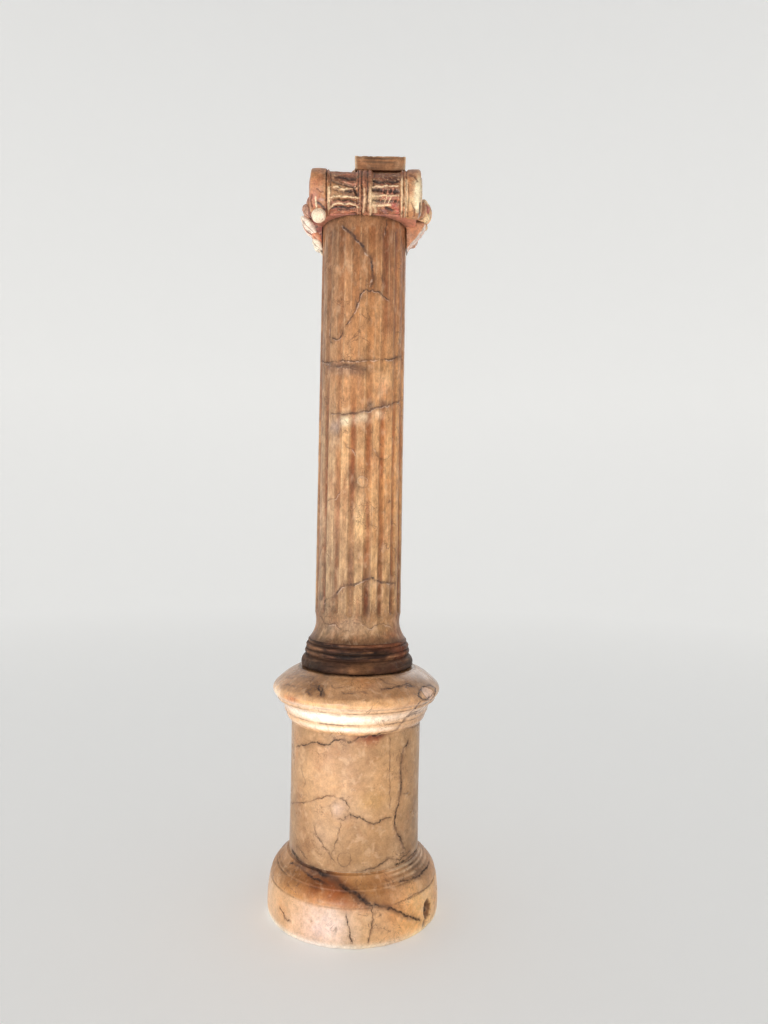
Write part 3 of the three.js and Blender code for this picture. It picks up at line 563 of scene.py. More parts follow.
die, A, H, S, R, P, off, hsr = turned("pedestal_drum", DIE, COLS, 2.1, die_offset, soften=0.0)
with_veins(die, A, S, R, hsr, ped_veins, 110)
col = np.tile(lin((218, 173, 131)), (len(A), 1))
col = col * (1 + 0.15 * fbm(P / 60.0, 3, 300)[:, None])
n2 = smooth(0.0, 0.55, fbm(P / 40.0 + 3, 3, 310))[:, None]
col = col * (1 - 0.4 * n2) + lin((236, 198, 164)) * 0.4 * n2
n3 = smooth(0.12, 0.6, fbm(P * [1 / 26.0, 1 / 26.0, 1 / 60.0] + 9, 3, 320))[:, None]
col = col * (1 - 0.35 * n3) + lin((188, 138, 96)) * 0.35 * n3
DIE_SPOTS = [
    (20, 254.5, 13, 4.5, 10, (112, 44, 26), 1.0), (27, 257, 10, 3.5, 10, (96, 40, 26), 0.8), (14, 250, 12, 5, 6, (168, 84, 50), 0.8), (-30, 214, 18, 16, 0, (238, 186, 150), 0.7), (-4, 216, 9, 24, 0, (196, 150, 118), 0.6),
    (10, 206, 12, 22, 0, (204, 158, 118), 0.55), (16, 172, 16, 12, 0, (222, 172, 112), 0.6), (-26, 128, 14, 26, 20, (238, 196, 166), 0.75), (-48, 136, 12, 34, 24, (188, 136, 98), 0.7), (-11, 160, 9, 10, 0, (232, 194, 172), 0.85), (-14, 163, 5, 5, 0, (244, 214, 198), 0.6), (-5, 150, 5, 4, 0, (150, 112, 94), 0.5),
    (-44, 108, 18, 9, 10, (150, 98, 62), 0.7), (0, 96, 30, 7, 0, (206, 156, 106), 0.6), (44, 150, 9, 34, 0, (190, 140, 96), 0.6), (54, 120, 12, 20, 0, (172, 124, 84), 0.6), (-62, 225, 12, 30, 0, (228, 152, 96), 0.6),
    (-36, 205, 24, 26, 0, (240, 192, 148), 0.7), (-28, 150, 20, 26, 0, (232, 186, 144), 0.5), (18, 254, 16, 6, 6, (150, 70, 44), 0.9), (9, 246, 14, 8, 0, (186, 112, 74), 0.6),
    (-6, 110, 26, 20, 0, (210, 166, 122), 0.5), (30, 190, 20, 30, 0, (206, 156, 108), 0.45), (50, 212, 14, 40, 0, (178, 128, 86), 0.55), (66, 150, 18, 60, 0, (166, 118, 78), 0.7),
    (-60, 130, 22, 50, 0, (196, 146, 106), 0.55), (-52, 96, 26, 14, 0, (176, 124, 84), 0.6), (14, 224, 12, 12, 0, (184, 134, 98), 0.55), (2, 206, 7, 22, 0, (188, 140, 106), 0.5), (-22, 226, 6, 14, 0, (238, 196, 164), 0.5), (18, 168, 14, 10, 0, (226, 180, 118), 0.6), (-56, 160, 8, 18, 0, (184, 128, 88), 0.5), (4, 216, 18, 20, 0, (226, 180, 138), 0.4),
    (-22, 228, 24, 12, 0, (206, 150, 106), 0.5), (36, 108, 18, 16, 0, (214, 168, 126), 0.4), (-45, 238, 22, 10, 0, (204, 152, 110), 0.5), (60, 96, 20, 10, 0, (150, 106, 70), 0.6),
    (20, 130, 20, 14, 0, (222, 176, 130), 0.5), (-78, 180, 20, 50, 0, (186, 140, 100), 0.6),
    (12, 248, 15, 7, 8, (188, 112, 74), 0.6), (14, 252.4, 13, 4.4, 12, (122, 46, 26), 1.1), (22, 255.0, 10, 3.6, 14, (92, 32, 20), 1.2), (-66, 170, 5, 60, 0, (236, 184, 136), 0.5), (-30, 190, 14, 26, 0, (236, 188, 152), 0.45), (6, 182, 16, 12, 0, (204, 154, 112), 0.4),
]
blotches(col, A, H, R, P, DIE_SPOTS, 330)
rng = np.random.default_rng(6)
back = [(rng.uniform(95, 265), rng.uniform(90, 250), rng.uniform(14, 34), rng.uniform(14, 34), rng.uniform(-40, 40), c, rng.uniform(0.4, 0.7))
        for c in ((240, 200, 162), (184, 132, 90), (206, 152, 106), (236, 196, 160), (164, 116, 78), (228, 182, 140), (196, 142, 98), (240, 204, 170))]
blotches(col, A, H, R, P, back, 360)
die_across = across(A, [(-64, 0.88, 0.95, 1.0), (-46, 0.97, 1.0, 1.0), (-27, 0.97, 1.0, 1.02), (-9, 0.96, 0.96, 0.94), (9, 0.91, 0.90, 0.84),
                        (27, 0.99, 0.99, 0.96), (46, 1.13, 1.14, 1.1), (64, 1.17, 1.14, 0.98)])
# painted light: brighter through the middle of the drum, darker towards its top and bottom and on its right side
put_color(die, "stone", col * die_across * [0.87, 0.825, 0.765] * ((0.745 + 0.13 * np.exp(-((H - 185) / 42.0) ** 2)) * (1 - 0.20 * smooth(14, 66, A) * smooth(150, 100, A)))[:, None])
# painted shade: darker at the drum's foot, where it meets the moulding
put_attr(die, "grime_and_shade", np.clip(0.5 * smooth(88, 82, H) * np.clip(0.6 + fbm(P / 12.0, 2, 370), 0, 1), 0, 1))


def chip_hole(A, H, R, pts):
    """The shell-shaped chip on the right of the cornice's edge."""
    du = np.radians(A - 60.5) * R
    dv = H - 301.6
    q = np.hypot((du * 0.96 - dv * 0.28) / 15.5, (dv * 0.96 + du * 0.28) / 8.4) + 0.14 * fbm(pts / 7.0, 3, 79)
    return 2.6 * (1 - smooth(0.72, 1.0, q)) * (np.abs(A - 60.5) < 20)


def cornice_offset(A, H, S, R, p):
    o = 0.35 * fbm(p / 55.0, 3, 3) + 0.10 * fbm(p / 9.0, 2, 9)
    fil = np.exp(-((H - 268) / 2.0) ** 2) + np.exp(-((H - 286.5) / 2.0) ** 2)
    o -= fil * np.clip(fbm(p / 9.0, 3, 42) - 0.05, 0, 1) * 1.8
    edge = np.exp(-((H - 301) / 5.0) ** 2)
    o -= edge * np.clip(fbm(p / 12.0, 3, 43) - 0.22, 0, 1) * 2.4
    o -= chip_hole(A, H, R, p)
    return np.where(H > PED_H - 4, o * smooth(PED_H - 0.6, PED_H - 4, H), o) * smooth(DIE_TOP - 2, DIE_TOP + 1, H)


cornice, A, H, S, R, P, off, hsr = turned("pedestal_cornice", CORNICE, COLS, 0.95, cornice_offset, dense=rows_after(0.5, 1.03, 7.0, tail=16))
with_veins(cornice, A, S, R, hsr, ped_veins, 120)
col = np.tile(lin((216, 172, 128)), (len(A), 1))
col = col * (1 + 0.14 * fbm(P / 50.0, 3, 400)[:, None])
# the upward-facing top slope is made darker and browner: partly the stone's tone, partly painted shade
top = smooth(EDGE_H + 1, EDGE_H + 7, H + 2.5 * fbm(P / 14.0, 3, 401))[:, None]
col = col * (1 - 0.85 * top) + lin((176, 134, 96)) * 0.85 * top
n2 = (smooth(0.0, 0.5, fbm(P / 18.0 + 5, 3, 410))[:, None]) * top
col = col * (1 - 0.5 * n2) + lin((146, 108, 76)) * 0.5 * n2
# the near-white patches in the cove (about 277 mm), along the bead under it (about 262 mm) and at the left end of the
# edge are painted highlights
CORN_SPOTS = [
    (-18, 278, 52, 5.5, 0, (255, 240, 214), 1.0), (-24, 277, 30, 4.5, 0, (255, 246, 226), 0.9), (-20, 262.5, 44, 4, 0, (252, 224, 190), 0.8), (8, 262, 30, 4, 0, (250, 214, 184), 0.7), (-10, 296.5, 60, 3.0, 0, (236, 190, 140), 0.6),
    (-68, 298, 12, 6, -10, (255, 240, 222), 0.95), (-44, 297, 10, 4, 0, (190, 108, 66), 0.7), (-56, 312, 16, 8, 20, (132, 98, 68), 0.7), (-28, 312, 14, 6, 10, (112, 82, 58), 0.8), (-8, 306, 24, 4, 0, (146, 108, 76), 0.7),
    (-40, 322, 22, 5, 0, (120, 88, 62), 0.7), (26, 310, 20, 4, -4, (150, 110, 72), 0.7), (58, 318, 18, 7, 0, (128, 92, 62), 0.7), (8, 322, 20, 5, 0, (196, 138, 96), 0.6), (59, 302.5, 8.0, 4.6, -14, (255, 226, 208), 0.9),
    (18, 300, 26, 4, 0, (206, 158, 104), 0.6), (38, 292, 12, 8, 0, (196, 146, 112), 0.6),
    (-70, 297, 16, 8, 0, (250, 226, 200), 0.7), (-48, 296, 12, 5, 0, (196, 120, 78), 0.6), (-20, 300, 50, 3.2, 0, (120, 92, 66), 0.5),
    (0, 277, 60, 9, 0, (246, 214, 178), 0.55), (50, 276, 26, 10, 0, (228, 176, 126), 0.6), (44, 300, 4, 5, 0, (120, 86, 66), 0.6), (30, 303, 26, 6, 0, (190, 140, 96), 0.5),
    (12, 318, 14, 8, 0, (188, 132, 88), 0.6), (-34, 316, 22, 7, 0, (140, 104, 72), 0.7), (-4, 312, 28, 8, 0, (182, 140, 100), 0.6), (40, 318, 20, 7, 0, (170, 124, 86), 0.5),
    (52, 292, 20, 6, 12, (222, 172, 128), 0.6), (-18, 262, 50, 5, 0, (244, 206, 168), 0.4), (-22, 309, 4, 6, 0, (96, 72, 54), 0.7), (70, 262, 26, 10, 0, (176, 126, 84), 0.6),
]
blotches(col, A, H, R, P, CORN_SPOTS, 420)
rng = np.random.default_rng(7)
back = [(rng.uniform(95, 265), rng.uniform(262, 322), rng.uniform(14, 30), rng.uniform(6, 14), rng.uniform(-10, 10), c, rng.uniform(0.4, 0.7))
        for c in ((240, 200, 162), (164, 120, 84), (200, 148, 106), (236, 196, 160), (150, 112, 80), (224, 178, 136))]
blotches(col, A, H, R, P, back, 450)
chipw = chip_hole(A, H, R, P)[:, None]
w = np.clip(chipw / 1.6, 0, 1) * 0.9
col = col * (1 - w) + lin((250, 214, 192)) * w
w = np.exp(-((chipw - 0.35) / 0.42) ** 2) * (chipw > 0.02) * 0.85
col = col * (1 - w) + lin((40, 24, 20)) * w
glare = (np.clip(np.exp(-((H - 277.5) / 6.0) ** 2) * (0.30 + 0.70 * np.exp(-((A + 20) / 30.0) ** 2)) * smooth(84, 60, np.abs(A)) * 1.05
        + 0.55 * np.exp(-((H - 262.5) / 3.4) ** 2) * np.exp(-((A + 8) / 40.0) ** 2) + 0.35 * np.exp(-((H - 291) / 3.0) ** 2) * np.exp(-((A + 22) / 40.0) ** 2), 0, 1) * np.clip(1.0 + 0.35 * fbm(P / 20.0, 3, 471), 0, 1))[:, None]
col = col * (1 - 0.9 * glare) + np.array([1.0, 1.06, 1.10]) * 0.9 * glare
# darker towards the right side: painted shade
put_color(cornice, "stone", col * [0.97, 0.90, 0.82] * (1 + 0.11 * top) * (1 + 0.08 * (1 - top)) * (1 - 0.16 * smooth(20, 70, A) * smooth(150, 100, A))[:, None])
# dark lines in the grooves (partly grime, partly painted shade) and painted shade on the top next to the shaft's foot
groove = 1.0 * np.exp(-((H - 268.9) / 1.1) ** 2) + 0.9 * np.exp(-((H - 286.2) / 1.0) ** 2) + 0.5 * np.exp(-((H - 290.8) / 1.0) ** 2) + 0.55 * np.exp(-((H - 255.6) / 1.2) ** 2) + 1.1 * smooth(82.5, 78.5, R) * (H > 318)
groove *= np.clip(0.6 + 0.9 * fbm(P / 18.0, 3, 480), 0.05, 1)
put_attr(cornice, "grime_and_shade", np.clip(groove, 0, 1))


# ------------------------------------------------------------------ shaft
def ring_offset(A, H, S, R, p):
    o = 0.35 * fbm(p / 30.0, 3, 13) + 0.28 * fbm(p * [1 / 9.0, 1 / 9.0, 1 / 4.0], 3, 14)
    o -= np.clip(fbm(p / 7.0, 3, 15) - 0.2, 0, 1) * 2.0
    return o * smooth(SHAFT_Z0, SHAFT_Z0 + 1.5, H) * smooth(SHAFT_Z0 + 37.5, SHAFT_Z0 + 35.5, H)


ring, A, H, S, R, P, off, hsr = turned("shaft_foot", RING, COLS, 0.8, ring_offset, soften=0.4, dense=rows_after(12.5, 0.75))
ring_sets = {"A": [], "B": [], "C": []}
with_veins(ring, A, S, R, hsr, ring_sets, 130)
col = np.tile(lin((104, 74, 54)), (len(A), 1))
up = smooth(SHAFT_Z0 + 14, SHAFT_Z0 + 18, H)[:, None]
col = col * (1 - 0.75 * up) + lin((66, 44, 38)) * 0.75 * up
n = fbm(P * [1 / 30.0, 1 / 30.0, 1 / 3.2], 4, 500)[:, None]
col = col * np.clip(1 + (0.95 + 0.7 * up) * n, 0.12, 3)
# painted highlights: pale thin bands along the ring's ridges
crest = (np.exp(-((H - SHAFT_Z0 - 21.2) / 1.5) ** 2) + np.exp(-((H - SHAFT_Z0 - 28.6) / 1.6) ** 2) + 0.9 * np.exp(-((H - SHAFT_Z0 - 35.6) / 1.3) ** 2) + 0.8 * np.exp(-((H - SHAFT_Z0 - 13.4) / 1.2) ** 2))
crest = np.clip(crest * (0.28 + 2.0 * fbm(P * [1 / 16.0, 1 / 16.0, 1 / 3.0] + 70, 3, 505)), 0, 1)[:, None]
col = col * (1 - crest) + lin((184, 136, 104)) * crest
pale = smooth(0.15, 0.6, fbm(P * [1 / 26.0, 1 / 26.0, 1 / 5.0] + 31, 3, 510))[:, None]
col = col * (1 - 0.5 * pale) + lin((168, 122, 88)) * 0.5 * pale
RING_SPOTS = [
    (-2, SHAFT_Z0 + 6, 22, 5, 0, (168, 114, 76), 0.9), (14, SHAFT_Z0 + 9, 8, 4, 0, (196, 142, 102), 0.6), (40, SHAFT_Z0 + 7, 10, 7, 0, (120, 70, 52), 0.7),
    (-4, SHAFT_Z0 + 24.5, 40, 3.2, 0, (14, 6, 6), 0.95), (26, SHAFT_Z0 + 31, 20, 3, 0, (30, 16, 14), 0.8), (-4, SHAFT_Z0 + 6, 10, 4, 0, (214, 156, 108), 0.9), (-44, SHAFT_Z0 + 6, 18, 8, 0, (60, 38, 34), 0.8), (56, SHAFT_Z0 + 22, 12, 10, 0, (136, 74, 50), 0.7),
    (-52, SHAFT_Z0 + 22, 14, 6, 0, (140, 100, 74), 0.7), (46, SHAFT_Z0 + 34, 14, 4, 0, (176, 104, 66), 0.8), (22, SHAFT_Z0 + 5, 10, 5, 0, (110, 66, 52), 0.7), (4, SHAFT_Z0 + 23, 36, 5, 0, (26, 14, 14), 0.85), (-20, SHAFT_Z0 + 19, 34, 3, 0, (34, 20, 20), 0.8), (62, SHAFT_Z0 + 30, 20, 8, 0, (150, 84, 52), 0.8),
    (-66, SHAFT_Z0 + 30, 16, 6, 0, (150, 112, 80), 0.7), (20, SHAFT_Z0 + 35, 30, 4, 0, (124, 70, 46), 0.6), (-24, SHAFT_Z0 + 35, 30, 3, 0, (60, 42, 36), 0.6), (-60, SHAFT_Z0 + 8, 18, 6, 0, (96, 78, 62), 0.6),
]
blotches(col, A, H, R, P, RING_SPOTS, 520, warp=5)
turn_back = smooth(80, 120, np.abs(A))[:, None]
col = col * (1 + 0.35 * turn_back)
stain = smooth(SHAFT_Z0 + 13, SHAFT_Z0 + 17, H)[:, None]
ring_across = across(A, [(-64, 0.95, 1.0, 1.05), (-46, 0.78, 0.88, 0.95), (-27, 0.76, 0.78, 0.90), (-9, 0.68, 0.68, 0.70), (9, 0.92, 0.92, 0.82),
                         (27, 1.15, 1.2, 1.2), (46, 1.1, 1.18, 1.25), (64, 0.92, 0.92, 0.82)])
put_color(ring, "stone", col * ring_across * [0.56, 0.46, 0.40] * (1 + 0.16 * stain * [0.9, 1.1, 1.1]) * (1 - (1 - stain) * [0.24, 0.17, 0.10]))
# dark lines in the grooves (partly grime, partly painted shade) and painted shade at the foot where it sits on the
# cornice
g = np.exp(-((H - SHAFT_Z0 - 16.4) / 0.9) ** 2) + np.exp(-((H - SHAFT_Z0 - 24.9) / 0.8) ** 2) + np.exp(-((H - SHAFT_Z0 - 32.6) / 0.9) ** 2) + smooth(SHAFT_Z0 + 2.2, SHAFT_Z0, H)
put_attr(ring, "grime_and_shade", np.clip(g * 0.9, 0, 1))

FLUTE_N = 18
_rng = np.random.default_rng(21)
FLUTE_C = np.array([-180 + 10 + 20 * k for k in range(FLUTE_N)], float)
FLUTE_C += _rng.normal(0, 0.6, FLUTE_N)
for k, a in zip(range(6, 12), (-50.6, -29.4, -8.6, 12.0, 31.0, 51.6)):
    FLUTE_C[k] = a
FLUTE_HALF = 4.9 + _rng.normal(0, 0.35, FLUTE_N)
FLUTE_LOW = 401 + _rng.normal(0, 2.2, FLUTE_N)
FLUTE_LOW[9] = 394.0
FLUTE_DEEP = 2.1 + _rng.normal(0, 0.2, FLUTE_N)
FLUTE_HIGH = 912.0


def flute_shape(A, H, R, p):
    """Depth of the nearest flute and how far in it a point is (0 on the fillet, 1 on the flute's floor)."""
    depth = np.zeros(len(A)); inside = np.zeros(len(A)); lateral = np.full(len(A), 99.0)
    drift = 0.5 * fbm(np.stack([A * 0, A * 0, H / 90.0], 1), 2, 61)
    for c, half, low, deep in zip(FLUTE_C, FLUTE_HALF, FLUTE_LOW, FLUTE_DEEP):
        dx = np.radians((A - c + 180) % 360 - 180) * R + drift
        m = np.abs(dx) < half + 3
        lo = np.maximum(0, low + half - H) * (0.55 if low < 396 else 1.0)
        hi = np.maximum(0, H - (FLUTE_HIGH - half))
        q = np.hypot(dx, lo + hi) / half
        d = deep * np.sqrt(np.clip(1 - q * q, 0, 1)) ** 1.25 * (1 - 0.45 * smooth(600, 720, H))
        depth = np.where(m & (d > depth), d, depth)
        inside = np.where(m, np.maximum(inside, np.clip(1 - q, 0, 1)), inside)
        lateral = np.where(m & (np.abs(dx) < np.abs(lateral)), dx, lateral)
    return depth, inside, lateral


def shaft_offset(A, H, S, R, p):
    d, _, _ = flute_shape(A, H, R, p)
    body = smooth(SHAFT_Z0 + 37.4, SHAFT_Z0 + 42, H)
    o = (0.28 * fbm(p / 45.0, 3, 23) + 0.14 * fbm(p * [1 / 7.0, 1 / 7.0, 1 / 22.0], 2, 24)) * body
    o -= np.clip(fbm(p * [1 / 9.0, 1 / 9.0, 1 / 14.0], 3, 25) - 0.30, 0, 1) * 1.8 * body
    return o - d


def shaft_rows(length):
    a = np.linspace(0, 62, 58, endpoint=False)
    b = np.linspace(62, length - 26, 92, endpoint=False)
    c = np.linspace(length - 26, length, 22)
    return np.concatenate([a, b, c])


shaft, A, H, S, R, P, off, hsr = turned("shaft_fluted", SHAFT, 18 * 30, 1.0, shaft_offset, soften=0.0, dense=shaft_rows)
rng_v = np.random.default_rng(31)
hid_s = hidden_veins(rng_v, 12, 420, 905, length=(40, 110))
with_veins(shaft, A, S, R, hsr, merge_sets(SHAFT_VEINS, hid_s), 140)
depth, inside, lateral = flute_shape(A, H, R, P)
col = np.tile(lin((206, 155, 112)), (len(A), 1))
t = smooth(900, 700, H)[:, None]
col = lin((176, 124, 86)) * (1 - t) + col * t
t2 = smooth(560, 420, H)[:, None]
col = col * (1 - 0.6 * t2) + lin((182, 138, 104)) * 0.6 * t2
streak = fbm(P * [1 / 7.0, 1 / 7.0, 1 / 130.0], 4, 600)[:, None]
col = col * (1 + 0.42 * streak)
streak2 = smooth(0.1, 0.55, fbm(P * [1 / 12.0, 1 / 12.0, 1 / 90.0] + 11, 3, 605))[:, None]
col = col * (1 - 0.45 * streak2) + lin((166, 98, 62)) * 0.45 * streak2
patch = smooth(0.05, 0.5, fbm(P / 38.0 + 4, 3, 610))[:, None]
col = col * (1 - 0.4 * patch) + lin((226, 176, 130)) * 0.4 * patch
wf = (smooth(0.15, 0.8, inside) * np.clip(0.62 + 0.7 * fbm(P * [1 / 10.0, 1 / 10.0, 1 / 60.0], 3, 620), 0, 1) * (1 - 0.6 * smooth(640, 740, H)) * (1 - 0.5 * smooth(0, 0.5, fbm(P / 30.0, 2, 621))))[:, None]
col = col * (1 - wf) + lin((150, 92, 60)) * wf
SHAFT_SPOTS = [
    (-30, 890, 16, 22, 0, (138, 94, 68), 0.6), (0, 850, 20, 30, 0, (190, 136, 92), 0.4), (-16, 716, 26, 4, 0, (138, 104, 86), 0.75), (-38, 728, 12, 5, 0, (108, 84, 74), 0.7), (-60, 600, 7, 90, 0, (140, 100, 84), 0.7), (-12, 600, 5, 34, 0, (138, 78, 48), 0.7), (10, 630, 5, 30, 0, (142, 84, 54), 0.65),
    (26, 560, 5, 40, 0, (146, 86, 54), 0.65), (-24, 596, 6, 30, 0, (240, 186, 128), 0.7), (16, 556, 6, 26, 0, (236, 184, 132), 0.65), (36, 560, 6, 30, 0, (230, 170, 112), 0.6), (-10, 470, 6, 30, 0, (160, 104, 74), 0.6), (10, 470, 6, 36, 0, (154, 98, 66), 0.55), (20, 440, 6, 24, 0, (226, 178, 132), 0.6),
    (22, 905, 9, 18, 0, (96, 56, 44), 0.85), (44, 905, 14, 22, 0, (110, 60, 46), 0.8), (-42, 905, 14, 16, 0, (104, 70, 54), 0.75), (-24, 916, 10, 6, 0, (70, 44, 36), 0.7),
    (35, 858, 9, 50, 0, (112, 60, 46), 0.9), (36, 800, 6, 36, 0, (140, 78, 56), 0.65), (58, 820, 10, 60, 0, (150, 92, 62), 0.6), (14, 840, 7, 14, 0, (120, 70, 44), 0.6),
    (0, 900, 20, 16, 0, (164, 104, 62), 0.6), (-50, 850, 10, 60, 0, (160, 112, 78), 0.6), (-12, 800, 18, 40, 0, (196, 140, 94), 0.5), (-30, 795, 10, 36, 0, (172, 118, 84), 0.5),
    (12, 780, 12, 40, 0, (208, 148, 98), 0.6), (-66, 760, 10, 80, 0, (150, 108, 80), 0.6), (-8, 725, 30, 5, 0, (130, 96, 74), 0.6), (28, 722, 12, 16, 0, (236, 190, 140), 0.6),
    (38, 708, 8, 12, 0, (246, 210, 170), 0.7), (32, 698, 10, 8, 0, (190, 110, 60), 0.7), (-40, 715, 12, 18, 0, (214, 150, 100), 0.6), (-12, 680, 18, 26, 0, (196, 128, 80), 0.5),
    (13, 672, 6, 5, 0, (84, 62, 52), 0.85), (34, 676, 6, 6, 0, (110, 84, 70), 0.7), (-22, 657, 8, 7, 0, (255, 244, 222), 1.2), (-5, 657, 6, 5, 0, (255, 232, 212), 1.1), (6, 659, 5, 5, 0, (255, 232, 212), 1.0), (26, 664, 8, 5, 0, (250, 222, 202), 1.0), (36, 678, 9, 4, 4, (120, 104, 112), 0.7), (-16, 664, 12, 2.5, 0, (132, 112, 112), 0.6), (13, 676, 4, 4, 0, (76, 58, 54), 0.9), (31, 679, 5, 4, 0, (96, 74, 66), 0.8),
    (-18, 632, 10, 28, 0, (236, 178, 118), 0.75), (-36, 636, 7, 40, 0, (186, 158, 132), 0.7), (-56, 640, 10, 60, 0, (160, 124, 96), 0.6), (4, 622, 10, 26, 0, (222, 168, 116), 0.5),
    (-10, 640, 6, 20, 0, (150, 92, 66), 0.6), (30, 640, 8, 26, 0, (182, 110, 66), 0.6), (42, 600, 8, 60, 0, (228, 168, 112), 0.6), (22, 606, 7, 26, 0, (150, 96, 62), 0.55),
    (-10, 586, 6, 22, 0, (110, 66, 44), 0.75), (-18, 570, 9, 26, 0, (166, 96, 60), 0.6), (4, 574, 9, 10, 0, (196, 156, 126), 0.6), (-34, 570, 9, 40, 0, (214, 150, 104), 0.5),
    (2, 538, 8, 14, 0, (246, 206, 166), 0.8), (0, 510, 12, 26, 0, (228, 178, 136), 0.5), (-26, 520, 10, 40, 0, (214, 168, 134), 0.5), (-44, 520, 10, 60, 0, (196, 156, 126), 0.6), (24, 520, 10, 40, 0, (214, 158, 104), 0.5),
    (38, 500, 6, 14, 0, (176, 104, 62), 0.7), (30, 470, 6, 40, 0, (176, 118, 80), 0.5), (-62, 500, 8, 50, 0, (176, 112, 104), 0.5), (50, 470, 10, 50, 0, (206, 152, 106), 0.5),
    (-58, 425, 10, 14, 0, (92, 82, 76), 0.7), (-46, 410, 8, 12, 0, (120, 104, 92), 0.6), (13, 420, 5, 16, 0, (106, 66, 44), 0.8), (12, 404, 7, 12, 0, (112, 66, 40), 0.9), (11, 396, 8, 5, 0, (140, 92, 58), 0.75), (-8, 424, 12, 14, 0, (190, 138, 92), 0.5),
    (-40, 382, 12, 8, 0, (126, 104, 86), 0.6), (0, 384, 30, 12, 0, (196, 158, 124), 0.6), (30, 386, 18, 12, 0, (204, 162, 118), 0.6), (-56, 380, 14, 12, 0, (178, 140, 106), 0.5), (-20, 376, 16, 8, 0, (176, 136, 104), 0.5),
    (50, 372, 18, 7, 0, (176, 104, 62), 0.6), (8, 369, 34, 3, 0, (150, 100, 70), 0.6),
    (-64, 780, 1.5, 90, 0, (216, 182, 164), 0.6), (-63, 560, 1.5, 120, 0, (216, 180, 160), 0.55), (54, 800, 1.5, 100, 0, (216, 172, 136), 0.55), (56, 560, 1.6, 130, 0, (226, 178, 136), 0.5), (-68, 680, 1.3, 200, 0, (96, 66, 56), 0.5),
    (-44, 729, 14, 4, 0, (150, 126, 124), 0.6), (-20, 725, 14, 3.4, 0, (140, 116, 112), 0.55), (2, 384, 22, 10, 0, (214, 178, 150), 0.5), (-30, 384, 12, 8, 0, (206, 170, 142), 0.45),
]
blotches(col, A, H, R, P, SHAFT_SPOTS, 640, warp=6)
rng = np.random.default_rng(8)
back = [(rng.uniform(90, 270), rng.uniform(400, 900), rng.uniform(7, 16), rng.uniform(20, 60), 0, c, rng.uniform(0.4, 0.7))
        for c in ((230, 182, 134), (150, 98, 66), (196, 138, 92), (236, 196, 150), (136, 86, 60), (214, 160, 112), (176, 116, 76), (226, 186, 146), (160, 96, 62), (220, 170, 124), (146, 104, 76), (196, 150, 118))]
blotches(col, A, H, R, P, back, 660)
fillet = (smooth(0.35, 0.0, inside) * smooth(392, 420, H) * 0.16)[:, None]
col = col * (1 - fillet) + lin((232, 190, 152)) * fillet
stain = (smooth(SHAFT_Z0 + 50, SHAFT_Z0 + 38, H + 4 * fbm(P / 14.0, 3, 680)) * 0.75)[:, None]
col = col * (1 - stain) + lin((104, 70, 48)) * stain
low = (smooth(530, 450, H) * (1 - 0.40 * smooth(410, 385, H)))[:, None]
col = col * (1 - 0.31 * low) * (1 + low * [0.0, 0.03, 0.05]) * (1 + smooth(600, 520, H)[:, None] * [-0.06, -0.01, 0.03])
arris = (smooth(0.30, 0.0, inside) * smooth(400, 430, H) * smooth(690, 640, H) * np.clip(0.5 + 1.2 * fbm(P * [1 / 6.0, 1 / 6.0, 1 / 24.0] + 2, 3, 690), 0, 1))[:, None] * 0.50
col = col * (1 - arris) + lin((246, 206, 162)) * arris
# painted highlights: thin pale lines along the outer edges of the flutes
thin = (np.exp(-((np.abs(lateral) - 6.2) / 0.6) ** 2) * (H > 404) * (H < 912) * np.clip(0.35 + 1.2 * fbm(P * [1 / 5.0, 1 / 5.0, 1 / 20.0] + 3, 3, 698), 0, 1))[:, None] * 0.5
col = col * (1 - thin) + lin((252, 216, 176)) * thin
rust = (smooth(0.25, 0.8, inside) * smooth(395, 430, H) * smooth(700, 650, H) * np.clip(0.2 + 1.3 * fbm(P * [1 / 9.0, 1 / 9.0, 1 / 30.0] + 8, 3, 692), 0, 1))[:, None] * 0.6
col = col * (1 - rust) + lin((160, 84, 44)) * rust
edge_tint = (smooth(44, 66, np.abs(A)) * smooth(104, 80, np.abs(A)) * np.clip(0.5 + 0.9 * fbm(P * [1 / 9.0, 1 / 9.0, 1 / 40.0] + 6, 3, 694), 0, 1))[:, None] * 0.5
col = col * (1 - edge_tint) + lin((150, 96, 76)) * edge_tint
shade_r = (1 - 0.16 * smooth(10, 70, A) * smooth(150, 100, A))[:, None]
speck = np.clip(fbm(P / 2.8, 3, 696), -0.6, 0.6)[:, None]
blotches(col, A, H, R, P, [
    (-19, 655, 7, 6, 0, (255, 242, 216), 1.1), (3.5, 661, 6, 5.5, 0, (255, 234, 208), 1.0), (23.5, 665.5, 7, 5, 0, (255, 228, 202), 0.9), (-36, 648, 8, 10, 0, (188, 168, 164), 0.8),
    (3, 519, 7, 12, 0, (246, 208, 162), 0.9), (7, 507, 6, 9, 0, (242, 198, 152), 0.7), (-3.5, 576, 4, 14, 0, (100, 72, 56), 0.75), (-17, 720, 24, 3.5, 0, (122, 98, 98), 0.75),
    (30, 706, 9, 12, 0, (246, 204, 170), 0.7), (26, 690, 7, 8, 0, (240, 196, 158), 0.6),
], 641, warp=3)
shaft_across = across(A, [(-60, 0.80, 0.93, 1.08), (-43, 0.80, 0.89, 1.0), (-22, 0.93, 0.97, 1.0), (0, 0.91, 0.93, 0.91), (22, 1.0, 0.99, 0.94),
                          (43, 1.16, 1.11, 1.01), (60, 1.32, 1.28, 1.12)])
put_color(shaft, "stone", col * shaft_across * [0.86, 0.77, 0.67] * shade_r * (1 + 0.3 * speck))
